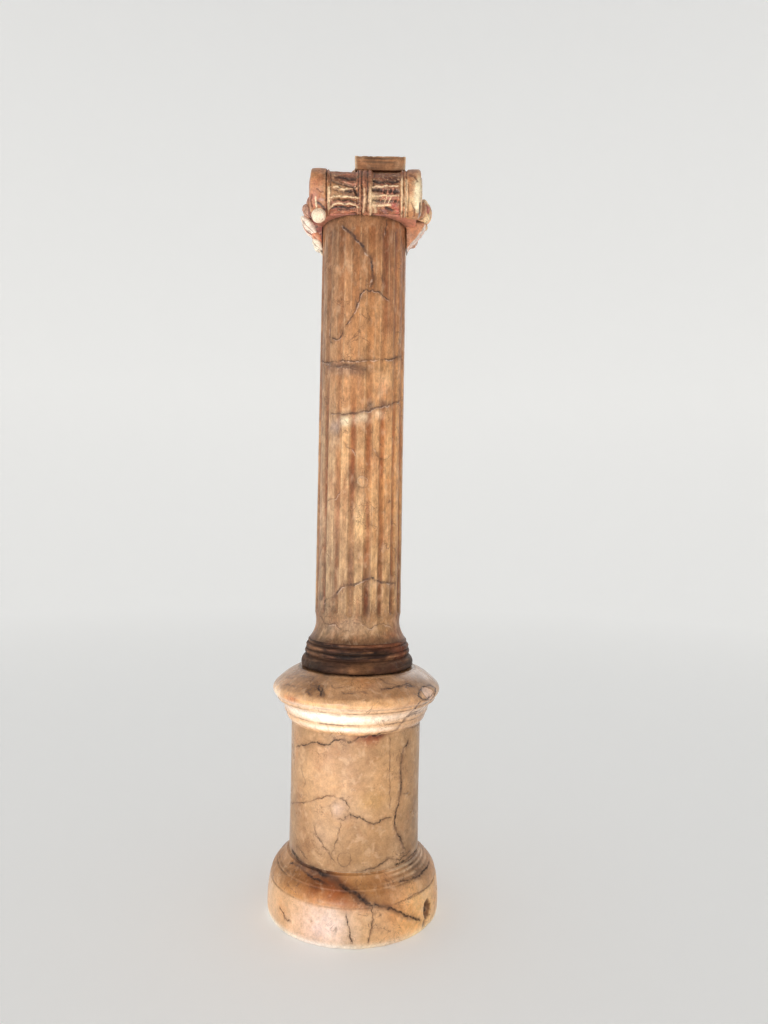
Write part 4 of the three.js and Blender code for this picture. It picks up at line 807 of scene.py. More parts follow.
# painted shade: thin dark lines along the flutes' edges, a dark band at the top under the capital and another at the
# bottom where it meets the ring
edge_line = np.exp(-((np.abs(lateral) - 5.1) / 0.55) ** 2) * (H > 404) * (H < 916) * np.clip(0.25 + 0.9 * fbm(P * [1 / 9.0, 1 / 9.0, 1 / 45.0] + 5, 3, 670), 0, 1)
put_attr(shaft, "grime_and_shade", np.clip(edge_line * (0.75 - 0.35 * smooth(640, 740, H)) + 0.9 * smooth(918, 924, H) + 0.5 * smooth(SHAFT_Z0 + 40, SHAFT_Z0 + 37, H), 0, 1))


# ------------------------------------------------------------------ materials
class Nodes:
    def __init__(self, mat):
        mat.use_nodes = True
        self.t = mat.node_tree
        self.t.nodes.clear()
        self.out = self.new("ShaderNodeOutputMaterial")
        self.bsdf = self.new("ShaderNodeBsdfPrincipled")
        self.t.links.new(self.bsdf.outputs[0], self.out.inputs[0])
        tc = self.new("ShaderNodeTexCoord")
        self.pos = tc.outputs["Object"]

    def new(self, kind):
        return self.t.nodes.new(kind)

    def put(self, socket, v):
        if isinstance(v, bpy.types.NodeSocket):
            self.t.links.new(v, socket)
        else:
            socket.default_value = v

    def math(self, op, a, b=None, c=None, clamp=False):
        n = self.new("ShaderNodeMath"); n.operation = op; n.use_clamp = clamp
        self.put(n.inputs[0], a)
        if b is not None: self.put(n.inputs[1], b)
        if c is not None: self.put(n.inputs[2], c)
        return n.outputs[0]

    def stretch(self, v, s):
        n = self.new("ShaderNodeVectorMath"); n.operation = "MULTIPLY"
        self.put(n.inputs[0], v); n.inputs[1].default_value = s
        return n.outputs[0]

    def noise(self, scale, detail=3.0, rough=0.55, distortion=0.0, vec=None):
        n = self.new("ShaderNodeTexNoise"); n.noise_dimensions = "3D"
        self.put(n.inputs["Vector"], self.pos if vec is None else vec)
        n.inputs["Scale"].default_value = scale; n.inputs["Detail"].default_value = detail
        n.inputs["Roughness"].default_value = rough; n.inputs["Distortion"].default_value = distortion
        return n.outputs[0]

    def voronoi(self, scale, feature="DISTANCE_TO_EDGE", vec=None):
        n = self.new("ShaderNodeTexVoronoi"); n.feature = feature
        self.put(n.inputs["Vector"], self.pos if vec is None else vec)
        n.inputs["Scale"].default_value = scale
        return n.outputs["Distance"]

    def remap(self, v, a, b, c=0.0, d=1.0, smooth_step=True):
        n = self.new("ShaderNodeMapRange")
        n.interpolation_type = "SMOOTHSTEP" if smooth_step else "LINEAR"
        self.put(n.inputs["Value"], v)
        n.inputs["From Min"].default_value = a; n.inputs["From Max"].default_value = b
        n.inputs["To Min"].default_value = c; n.inputs["To Max"].default_value = d
        return n.outputs["Result"]

    def mix(self, f, a, b, mode="MIX"):
        n = self.new("ShaderNodeMix"); n.data_type = "RGBA"; n.blend_type = mode
        self.put(n.inputs["Factor"], f)
        self.put(n.inputs[6], a if isinstance(a, bpy.types.NodeSocket) else (*a, 1.0))
        self.put(n.inputs[7], b if isinstance(b, bpy.types.NodeSocket) else (*b, 1.0))
        return n.outputs[2]

    def attr(self, name, out="Fac"):
        n = self.new("ShaderNodeAttribute"); n.attribute_name = name
        return n.outputs[out]

    def xyz(self, v):
        n = self.new("ShaderNodeSeparateXYZ"); self.put(n.inputs[0], v)
        return n.outputs

    def scale_color(self, c, f):
        n = self.new("ShaderNodeVectorMath"); n.operation = "SCALE"
        self.put(n.inputs[0], c); self.put(n.inputs["Scale"], f)
        return n.outputs[0]


def stone(name, grain=1.0, rough=0.3, veins=True, vein_rgb=(38, 26, 22), pale_vein=0.0, coat=0.25, stretch=(1, 1, 1), bump=1.0, hairs=1.0, clouds=1.0, spec=0.4):
    mat = bpy.data.materials.new(name)
    n = Nodes(mat)
    p = n.pos
    col = n.attr("stone", "Color")
    ps = n.stretch(p, stretch)
    broad = n.noise(46, 3, 0.6, 0.6, ps)
    mid = n.noise(150, 3, 0.62, 0.3, ps)
    fine = n.noise(520, 2, 0.65, 0.0, ps)
    shade = n.math("ADD", n.remap(broad, 0.3, 0.7, 0.90, 1.09), n.remap(mid, 0.3, 0.7, -0.10 * grain, 0.10 * grain))
    shade = n.math("ADD", shade, n.remap(fine, 0.3, 0.7, -0.085 * grain, 0.085 * grain))
    col = n.scale_color(col, shade)
    # warm and pale clouds inside the stone
    cloud = n.remap(n.noise(85, 3, 0.6, 0.4, ps), 0.52, 0.72, 0.0, 0.30 * clouds)
    col = n.mix(cloud, col, tuple(lin((236, 196, 158))), "MIX")
    rusty = n.remap(n.noise(64, 3, 0.7, 0.7, n.stretch(p, (1, 1, stretch[2] * 0.8))), 0.56, 0.76, 0.0, 0.34 * clouds)
    col = n.mix(rusty, col, tuple(lin((172, 108, 66))), "MIX")
    lines = None
    if veins:
        j1 = n.math("MULTIPLY", n.math("SUBTRACT", n.noise(420, 2, 0.7), 0.5), 3.0)
        j2 = n.math("MULTIPLY", n.math("SUBTRACT", n.noise(120, 2, 0.5), 0.5), 3.2)
        j3 = n.math("MULTIPLY", n.math("SUBTRACT", n.noise(230, 2, 0.5), 0.5), 3.4)
        jit = n.math("ADD", n.math("ADD", j1, j2), j3)
        brk = n.remap(n.noise(58, 2, 0.6), 0.34, 0.56, 0.35, 1.0)
        brk2 = n.remap(n.noise(300, 1, 0.6), 0.35, 0.6, 0.6, 1.0)
        halo_all = None
        pale_all = None
        for key in "abcd":
            d, m, w = n.xyz(n.attr("vein_" + key, "Vector"))[:3]
            dj = n.math("ADD", d, n.math("MULTIPLY", jit, n.remap(w, 1.2, 2.8, 1.0, 0.5, smooth_step=False)))
            q = n.math("DIVIDE", n.math("ABSOLUTE", dj), w)
            core = n.remap(q, 1.25, 0.35, 0.0, 1.0)
            core = n.math("MULTIPLY", core, n.math("MULTIPLY", m, n.math("MULTIPLY", brk, brk2)))
            halo = n.math("MULTIPLY", n.remap(q, 4.5, 0.2, 0.0, 1.0), m)
            pale = n.math("MULTIPLY", n.math("MULTIPLY", n.remap(dj, -2.6, -1.4, 0.0, 1.0), n.remap(dj, -0.5, -1.2, 0.0, 1.0)), m)
            lines = core if lines is None else n.math("MAXIMUM", lines, core)
            halo_all = halo if halo_all is None else n.math("MAXIMUM", halo_all, halo)
            pale_all = pale if pale_all is None else n.math("MAXIMUM", pale_all, pale)
        hn = n.remap(n.noise(90, 2, 0.6), 0.35, 0.62, 0.10, 0.60)
        col = n.mix(n.math("MULTIPLY", halo_all, hn), col, tuple(lin((110, 72, 50))), "MIX")
        if pale_vein > 0:
            pn = n.remap(n.noise(70, 2, 0.5), 0.45, 0.6, 0.0, pale_vein)
            col = n.mix(n.math("MULTIPLY", pale_all, pn), col, tuple(lin((238, 208, 186))), "MIX")
        col = n.mix(n.math("MULTIPLY", lines, 0.93), col, tuple(lin(vein_rgb)), "MIX")
    # hairline marbling
    marble = n.math("ABSOLUTE", n.math("SUBTRACT", n.noise(30, 5, 0.62, 0.9, ps), 0.5))
    hair = n.math("MULTIPLY", n.remap(marble, 0.013, 0.002, 0.0, 1.0), n.remap(n.noise(24, 2, 0.5, 0.0), 0.47, 0.60, 0.0, 0.5 * hairs))
    col = n.mix(hair, col, tuple(lin((92, 62, 48))), "MIX")
    # the mask read here is partly grime in grooves, partly painted shade in creases, hollows, under overhangs and where
    # parts meet; it darkens the colour and roughens it
    grime_and_shade = n.math("MULTIPLY", n.attr("grime_and_shade"), n.remap(n.noise(210, 2, 0.6), 0.3, 0.6, 0.45, 1.0))
    col = n.mix(n.math("MULTIPLY", grime_and_shade, 0.85), col, tuple(lin((58, 38, 26))), "MIX")
    n.put(n.bsdf.inputs["Base Color"], col)
    r = n.math("ADD", n.remap(n.noise(34, 2, 0.6), 0.3, 0.7, rough - 0.07, rough + 0.11), n.math("MULTIPLY", grime_and_shade, 0.3))
    if lines is not None:
        r = n.math("ADD", r, n.math("MULTIPLY", lines, 0.3))
    n.put(n.bsdf.inputs["Roughness"], n.math("MINIMUM", r, 0.9))
    n.bsdf.inputs["Coat Weight"].default_value = coat
    n.bsdf.inputs["Coat Roughness"].default_value = 0.18
    n.bsdf.inputs["IOR"].default_value = 1.5
    n.bsdf.inputs["Specular IOR Level"].default_value = spec
    hgt = n.math("ADD", n.math("MULTIPLY", fine, 0.10), n.math("MULTIPLY", mid, 0.22))
    hgt = n.math("ADD", hgt, n.math("MULTIPLY", broad, 0.35))
    if lines is not None:
        hgt = n.math("SUBTRACT", hgt, n.math("MULTIPLY", lines, 0.55))
    b = n.new("ShaderNodeBump")
    b.inputs["Strength"].default_value = 0.55 * bump
    b.inputs["Distance"].default_value = 0.0008
    n.put(b.inputs["Height"], hgt)
    n.put(n.bsdf.inputs["Normal"], b.outputs[0])
    return mat


ped_mat = stone("pedestal stone", grain=1.0, rough=0.34, coat=0.10, spec=0.26, hairs=1.1)
cornice_mat = stone("cornice stone", grain=1.3, rough=0.27, coat=0.35, spec=0.35, hairs=1.1)
shaft_mat = stone("shaft stone", grain=1.6, rough=0.42, vein_rgb=(70, 54, 50), pale_vein=0.6, coat=0.0, spec=0.28, stretch=(1, 1, 0.55), bump=1.2, hairs=1.1)
foot_mat = stone("shaft foot stone", grain=1.6, rough=0.5, veins=False, coat=0.0, spec=0.15, stretch=(1, 1, 2.0), bump=1.3, clouds=0.08)
for ob, m in ((plinth, ped_mat), (die, ped_mat), (cornice, cornice_mat)):
    ob.data.materials.append(m)
    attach(ob, "root"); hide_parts("pedestal")
for ob, m in ((ring, foot_mat), (shaft, shaft_mat)):
    ob.data.materials.append(m)
    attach(ob, "root"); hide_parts("shaft")


# ------------------------------------------------------------------ capital
CAP_X = 2.6                       # the carved block sits a little to the right of the shaft's axis
CAP_Z0, CAP_TOP = 924.3, 982.0
ROLL_R, ROLL_Y, ROLL_Z, HALF_X = 30.0, 55.0, 952.3, 70.8
STRAP_L, STRAP_R = -10.9, 6.9
LEAF_L, LEAF_R = (-47.6, STRAP_L - 1.2), (STRAP_R + 1.2, 44.8)
ROW_PITCH = 9.4

CAP_BASE = lin((176, 120, 86))
CAP_DARK = lin((66, 38, 27))
CAP_PALE = lin((244, 206, 168))
CAP_PINK = lin((206, 138, 118))


def leaf_scallops(x, t, x0, x1, cells):
    """Overlapping round leaves, each with a sunk heart: the left side of the roll."""
    k = np.floor(t / ROW_PITCH)
    v = t / ROW_PITCH - k
    w = (x1 - x0) / cells
    a = (x - x0) / w + 0.5 * (k % 2)
    a = (a - np.floor(a)) * 2 - 1
    arc = 0.93 - 0.42 * a * a
    d = (v - arc) * ROW_PITCH
    ridge = np.exp(-(d / 1.05) ** 2)
    heart = smooth(-0.6, -2.2, d) * smooth(1.0, 0.55, np.abs(a))
    ribs = 0.45 * np.cos(a * math.pi * 3.5) * heart
    low = smooth(0.12, 0.0, v)
    return 1.75 * ridge - 1.55 * heart + ribs - 1.1 * low


def leaf_strokes(x, t, x0, x1):
    """Rows of slanted cuts under a wavy lip: the right side of the roll."""
    t = t + 0.9 * np.sin((x - x0) / 5.2)
    k = np.floor(t / ROW_PITCH)
    v = t / ROW_PITCH - k
    lip = np.exp(-((v - 0.9) / 0.13) ** 2)
    ph = (x - x0) / 5.7 + 0.75 * v + 0.37 * k
    cut = 0.5 - 0.5 * np.cos(ph * 2 * math.pi)
    body = smooth(0.02, 0.16, v) * smooth(0.86, 0.70, v)
    return 1.7 * lip + body * (1.3 * cut ** 1.6 - 1.45) - 0.6 * (1 - body) * (1 - lip)


# Cuts and ridges of the front roll as (height mm, width mm, tone, strength, points).
# A point is (distance along the roll, distance round it from the outermost line, upward positive).
TONES = {"cream": (253, 229, 192), "pink": (214, 142, 116), "dark": (58, 34, 26), "plum": (74, 38, 40), "red": (92, 44, 32), "olive": (128, 92, 58),
         "mauve": (170, 132, 130), "mauvepink": (206, 118, 108), "grey": (120, 98, 96), "pale": (214, 180, 178)}
# the cream tones on the raised ridges are partly painted highlight
ROLL_CUTS = [
    (0.8, 1.0, "pink", 0.6, [(-28.7, 17.6), (-19.1, 19.0), (-11.7, 16.1)]),
    (-0.8, 0.8, "dark", 0.6, [(-45.6, 27.5), (-36.3, 24.5), (-29.2, 27.5), (-19.6, 30.9), (-11.4, 24.5)]),
    (-1.6, 2.0, "red", 0.9, [(-38.0, 11.5), (-30.8, 11.5), (-23.5, 9.9), (-16.3, 9.9), (-10.9, 11.5)]),
    (-0.9, 1.2, "dark", 0.7, [(-33.3, 12.9), (-26.0, 11.5), (-18.7, 8.7), (-13.9, 8.1)]),
    (1.2, 0.8, "pink", 0.9, [(-29.4, 5.0), (-23.3, 3.0), (-17.3, 1.6), (-11.3, 2.0)]),
    (-0.9, 1.2, "dark", 0.6, [(-43.9, 7.0), (-40.2, 3.0), (-32.9, 1.2), (-25.7, -0.8), (-18.4, -2.3), (-11.2, -1.8)]),
    (1.4, 1.0, "cream", 1.0, [(-40.3, -2.7), (-36.5, -1.8), (-31.6, -4.6), (-26.8, -6.3), (-23.8, -4.6)]),
    (1.0, 0.8, "cream", 0.5, [(-23.2, -5.2), (-18.4, -3.8), (-13.6, -5.2), (-10.0, -4.1)]),
    (-2.0, 1.6, "dark", 1.0, [(-25.0, -8.1), (-18.4, -7.9)]),
    (-2.0, 1.4, "dark", 1.0, [(-14.8, -5.2), (-12.4, -9.6), (-11.1, -12.7)]),
    (-1.0, 1.4, "olive", 0.7, [(-40.0, -6.3), (-35.2, -7.9), (-29.2, -9.8)]),
    (1.5, 1.1, "cream", 1.0, [(-43.8, -16.2), (-40.1, -14.2), (-34.1, -13.8), (-29.2, -15.1), (-23.2, -14.2), (-17.2, -15.1), (-9.3, -15.3)]),
    (-1.3, 1.4, "olive", 0.8, [(-40.2, -19.7), (-34.1, -17.9), (-28.1, -19.7), (-22.0, -18.3), (-16.0, -20.9), (-11.2, -19.7)]),
    (-0.9, 0.8, "dark", 0.8, [(-34.1, -18.8), (-28.1, -20.6), (-23.3, -18.8)]),
    (-0.9, 0.8, "dark", 0.8, [(-18.5, -21.1), (-13.6, -22.7), (-10.0, -21.5)]),
    (1.4, 1.1, "cream", 1.0, [(-45.5, -30.1), (-41.6, -25.2), (-34.3, -22.7), (-28.3, -24.6), (-20.9, -23.6), (-13.7, -26.2), (-8.9, -27.0)]),
    (-2.0, 2.0, "plum", 1.0, [(-42.6, -31.7), (-35.7, -29.4), (-28.4, -30.1), (-21.2, -32.0), (-15.0, -30.1)]),
    (-1.0, 1.1, "dark", 0.9, [(-39.4, -30.1), (-33.3, -28.4), (-26.0, -30.1)]),
    (-1.0, 1.1, "dark", 0.7, [(-36.0, -34.2), (-28.6, -34.8), (-21.3, -34.8)]),
    (0.8, 1.5, "pink", 0.8, [(-49.2, -48.4), (-41.2, -39.8), (-32.6, -39.3), (-23.9, -39.3), (-14.0, -37.5), (-9.1, -37.5)]),
    (1.0, 1.2, "cream", 0.7, [(-1.6, -5.2), (-0.9, -12.9), (-1.5, -24.6), (-2.9, -33.3)]),
    (1.3, 1.8, "cream", 1.0, [(7.1, -6.3), (6.7, -12.9), (7.0, -19.7), (6.4, -27.2), (6.8, -39.3)]),
    (-1.0, 0.8, "dark", 0.7, [(-5.3, 31.0), (-5.1, 4.3), (-4.5, -10.7), (-4.9, -24.6), (-5.8, -42.0)]),
    (-1.0, 0.9, "dark", 0.75, [(2.1, 31.0), (2.4, 7.0), (3.0, -6.3), (2.1, -17.4), (2.7, -24.6)]),
    (-1.0, 0.7, "dark", 0.6, [(-10.2, 31.0), (-8.9, 4.3), (-9.1, -10.7), (-8.6, -24.6), (-8.6, -42.0)]),
    (-0.8, 1.0, "dark", 0.5, [(11.2, 31.0), (10.2, 7.0), (9.2, -4.1)]),
    (1.0, 1.8, "cream", 0.8, [(10.6, -27.2), (13.0, -33.3), (12.4, -39.3)]),
    (-0.9, 1.2, "olive", 0.9, [(1.1, -23.3), (1.3, -30.1), (2.0, -34.2)]),
    (-1.5, 2.2, "dark", 0.85, [(10.2, 8.4), (16.3, 5.6), (22.3, 5.0), (27.1, 7.0), (34.3, 5.0), (40.9, 7.0)]),
    (-0.4, 1.8, "plum", 0.6, [(25.8, 12.2), (34.2, 10.5), (41.4, 11.8)]),
    (1.3, 1.0, "cream", 0.9, [(8.6, -2.0), (14.0, -0.8), (20.0, -1.8), (26.0, -0.0), (33.2, -0.8), (41.0, -0.4)]),
    (-1.6, 2.4, "red", 1.0, [(9.9, -6.3), (16.5, -5.7), (23.7, -7.4), (30.9, -6.3), (40.6, -7.4)]),
    (-0.9, 1.1, "dark", 1.0, [(9.9, -5.4), (17.7, -5.0), (22.5, -7.6)]),
    (-0.9, 0.8, "dark", 0.9, [(26.1, -6.3), (25.6, -9.6)]),
    (-0.9, 0.8, "dark", 0.9, [(32.1, -5.2), (31.0, -9.0)]),
    (-0.9, 0.8, "dark", 0.9, [(38.7, -4.6), (37.0, -9.4)]),
    (0.6, 0.6, "pink", 0.8, [(23.0, -3.5), (21.4, -10.1)]),
    (0.6, 0.6, "pink", 0.8, [(29.1, -3.5), (27.4, -10.5)]),
    (0.6, 0.6, "pink", 0.8, [(35.4, -3.1), (33.6, -9.8)]),
    (1.2, 1.0, "cream", 0.9, [(8.7, -12.3), (15.4, -13.8), (22.6, -12.0), (29.8, -12.7), (41.9, -11.8)]),
    (-1.4, 2.0, "dark", 0.8, [(10.6, -18.8), (16.7, -19.9), (22.7, -19.5), (30.0, -19.9), (40.9, -19.9)]),
    (0.9, 0.7, "pink", 0.9, [(22.6, -13.4), (18.8, -19.9)]),
    (0.9, 0.7, "cream", 0.7, [(27.7, -13.4), (24.2, -21.1)]),
    (0.9, 0.7, "cream", 0.8, [(32.9, -13.4), (29.7, -21.5)]),
    (0.9, 0.7, "pink", 0.9, [(38.3, -13.4), (35.2, -21.5)]),
    (0.9, 0.7, "pink", 0.8, [(42.2, -15.1), (40.3, -22.1)]),
    (1.3, 1.4, "cream", 1.0, [(8.8, -24.6), (14.3, -26.6), (20.3, -26.2), (26.4, -24.3), (32.5, -24.6)]),
    (-2.0, 2.0, "plum", 1.0, [(26.5, -30.1), (30.1, -31.7), (33.6, -33.7)]),
    (-1.0, 0.9, "dark", 0.9, [(27.1, -28.9), (30.7, -30.1), (33.2, -32.0)]),
    (0.3, 2.4, "mauve", 0.9, [(20.4, -33.7), (24.7, -36.1), (27.2, -40.6)]),
    (0.4, 2.8, "mauvepink", 0.9, [(36.1, -24.6), (39.9, -30.1), (41.3, -39.3)]),
    (0.8, 1.2, "pink", 0.6, [(16.7, -42.6), (26.6, -43.6), (35.3, -48.4), (45.3, -52.4)]),
    (-0.7, 0.7, "dark", 0.5, [(19.1, -30.1), (21.6, -39.3), (27.2, -46.5)]),
    (0.6, 1.1, "cream", 0.9, [(45.7, 8.4), (46.3, -4.1), (46.8, -15.1), (46.9, -27.2), (46.7, -48.4)]),
    (0.6, 1.1, "cream", 1.0, [(51.4, 7.0), (52.3, -5.2), (51.6, -15.1), (51.8, -27.2), (51.4, -48.4)]),
    (-0.9, 0.6, "olive", 0.9, [(48.8, -1.8), (49.4, -12.9), (49.5, -24.6)]),
    (-0.8, 0.6, "dark", 0.6, [(43.1, -1.8), (43.8, -12.9), (43.9, -24.6), (43.8, -42.0)]),
    (-0.6, 0.7, "olive", 0.8, [(54.6, 0.6), (55.3, -10.7), (54.9, -24.6), (54.7, -42.0)]),
    (0.5, 3.0, "cream", 1.0, [(66.0, -4.1), (66.2, -12.9), (65.3, -24.6)]),
    (0.3, 2.0, "cream", 0.8, [(67.6, -6.3), (68.0, -17.4), (67.0, -30.1)]),
    (-1.2, 0.7, "dark", 1.0, [(69.6, -19.7), (69.7, -30.1), (70.0, -48.4), (71.0, -52.3)]),
    (-0.4, 1.3, "red", 0.6, [(55.9, 13.2), (61.9, 9.9), (65.6, 4.3)]),
    (-0.5, 0.8, "red", 0.7, [(59.0, -19.7), (63.0, -27.2), (62.9, -39.3)]),
    (-0.9, 0.8, "dark", 0.6, [(-50.9, 27.5), (-49.8, 4.3), (-49.7, -9.6), (-50.4, -19.7)]),
    (0.7, 1.3, "cream", 1.0, [(-47.0, -4.1), (-46.7, -12.9), (-47.3, -22.1), (-47.5, -32.5)]),
    (-0.8, 0.7, "dark", 0.5, [(-45.1, 19.5), (-44.7, 0.6), (-44.3, -10.7)]),
    (-1.2, 1.6, "grey", 0.8, [(-61.5, -21.1), (-57.9, -23.3), (-54.8, -26.6), (-51.7, -31.7)]),
    (0.9, 1.0, "cream", 1.0, [(-63.5, -15.1), (-63.3, -22.1), (-62.7, -30.9)]),
    (0.2, 1.2, "pale", 0.5, [(-58.3, -17.4), (-53.5, -17.9)]),
    (-0.8, 1.0, "red", 0.7, [(-67.8, -12.9), (-69.9, -19.7), (-68.5, -27.2)]),
    (-0.5, 0.9, "red", 0.6, [(-61.7, -6.3), (-56.9, -9.6), (-53.3, -9.6)]),
]


def apply_cuts(x, t, cuts, rel, shade):
    """Adds each cut to the relief and remembers its tone: shade collects (weight, tone) in order."""
    for amp, width, tone, strength, pts in cuts:
        q = np.array(pts, float)
        lo, hi = q.min(0) - 3.2 * width, q.max(0) + 3.2 * width
        near = np.where((x > lo[0]) & (x < hi[0]) & (t > lo[1]) & (t < hi[1]))[0]
        if not len(near):
            continue
        best = np.full(len(near), 1e9)
        for a, b in zip(q[:-1], q[1:]):
            e = b - a
            k = np.clip(((x[near] - a[0]) * e[0] + (t[near] - a[1]) * e[1]) / (e @ e + 1e-9), 0, 1)
            best = np.minimum(best, np.hypot(x[near] - a[0] - k * e[0], t[near] - a[1] - k * e[1]))
        g = np.exp(-(best / width) ** 2)
        rel[near] += amp * g
        shade.append((near, np.clip(g * 1.25, 0, 1) * strength, tone))


def roll_profile():
    p = [(-HALF_X + 0.2, 0.02), (-HALF_X, 26.8)] + [(-HALF_X + 2.6 - 2.6 * math.cos(a), 26.8 + 2.9 * math.sin(a)) for a in np.linspace(0.2, math.pi / 2, 6)] \
        + [(-62, 30.1), (-53.0, 29.7), (-51.2, 29.2), (-50.4, 27.6), (-49.6, 27.7), (-48.9, 28.6), (-48.1, 28.3), (-47.2, 26.4), (-44, 26.2), (-24, 25.6), (STRAP_L - 1.6, 25.4), (STRAP_L - 0.4, 27.8),
           (STRAP_L + 0.6, 28.8), (STRAP_R - 0.6, 28.8), (STRAP_R + 0.4, 27.8), (STRAP_R + 1.6, 25.4), (24, 25.6), (42, 26.2), (44.6, 26.5), (45.4, 28.3), (46.4, 29.3), (47.5, 28.6), (48.2, 27.6), (49.0, 28.3), (49.9, 29.4), (51.0, 28.9), (51.6, 27.9), (52.6, 28.2), (53.6, 29.8), (60, 30.5)] \
        + [(HALF_X - 4.2 + 4.2 * math.sin(a), 26.4 + 4.2 * math.cos(a)) for a in np.linspace(0.05, math.pi / 2, 8)] + [(HALF_X - 0.2, 0.02)]
    return p


def spiral(rho, theta, flip):
    """Relief of one volute: a fillet that winds in to a round eye."""
    b = 0.145
    th = theta * flip
    ph = (np.log(np.maximum(rho, 0.5) / 27.5) / b + th + math.pi / 2) / (2 * math.pi)
    f = ph - np.floor(ph)
    band = np.exp(-((np.minimum(f, 1 - f)) / 0.13) ** 2)
    chan = np.sin(f * math.pi) ** 2
    fade = smooth(5.0, 7.5, rho) * smooth(29.5, 27.0, rho)
    eye = np.sqrt(np.clip(1 - (rho / 5.4) ** 2, 0, 1))
    return fade * (1.7 * band - 1.6 * chan) + 3.2 * eye


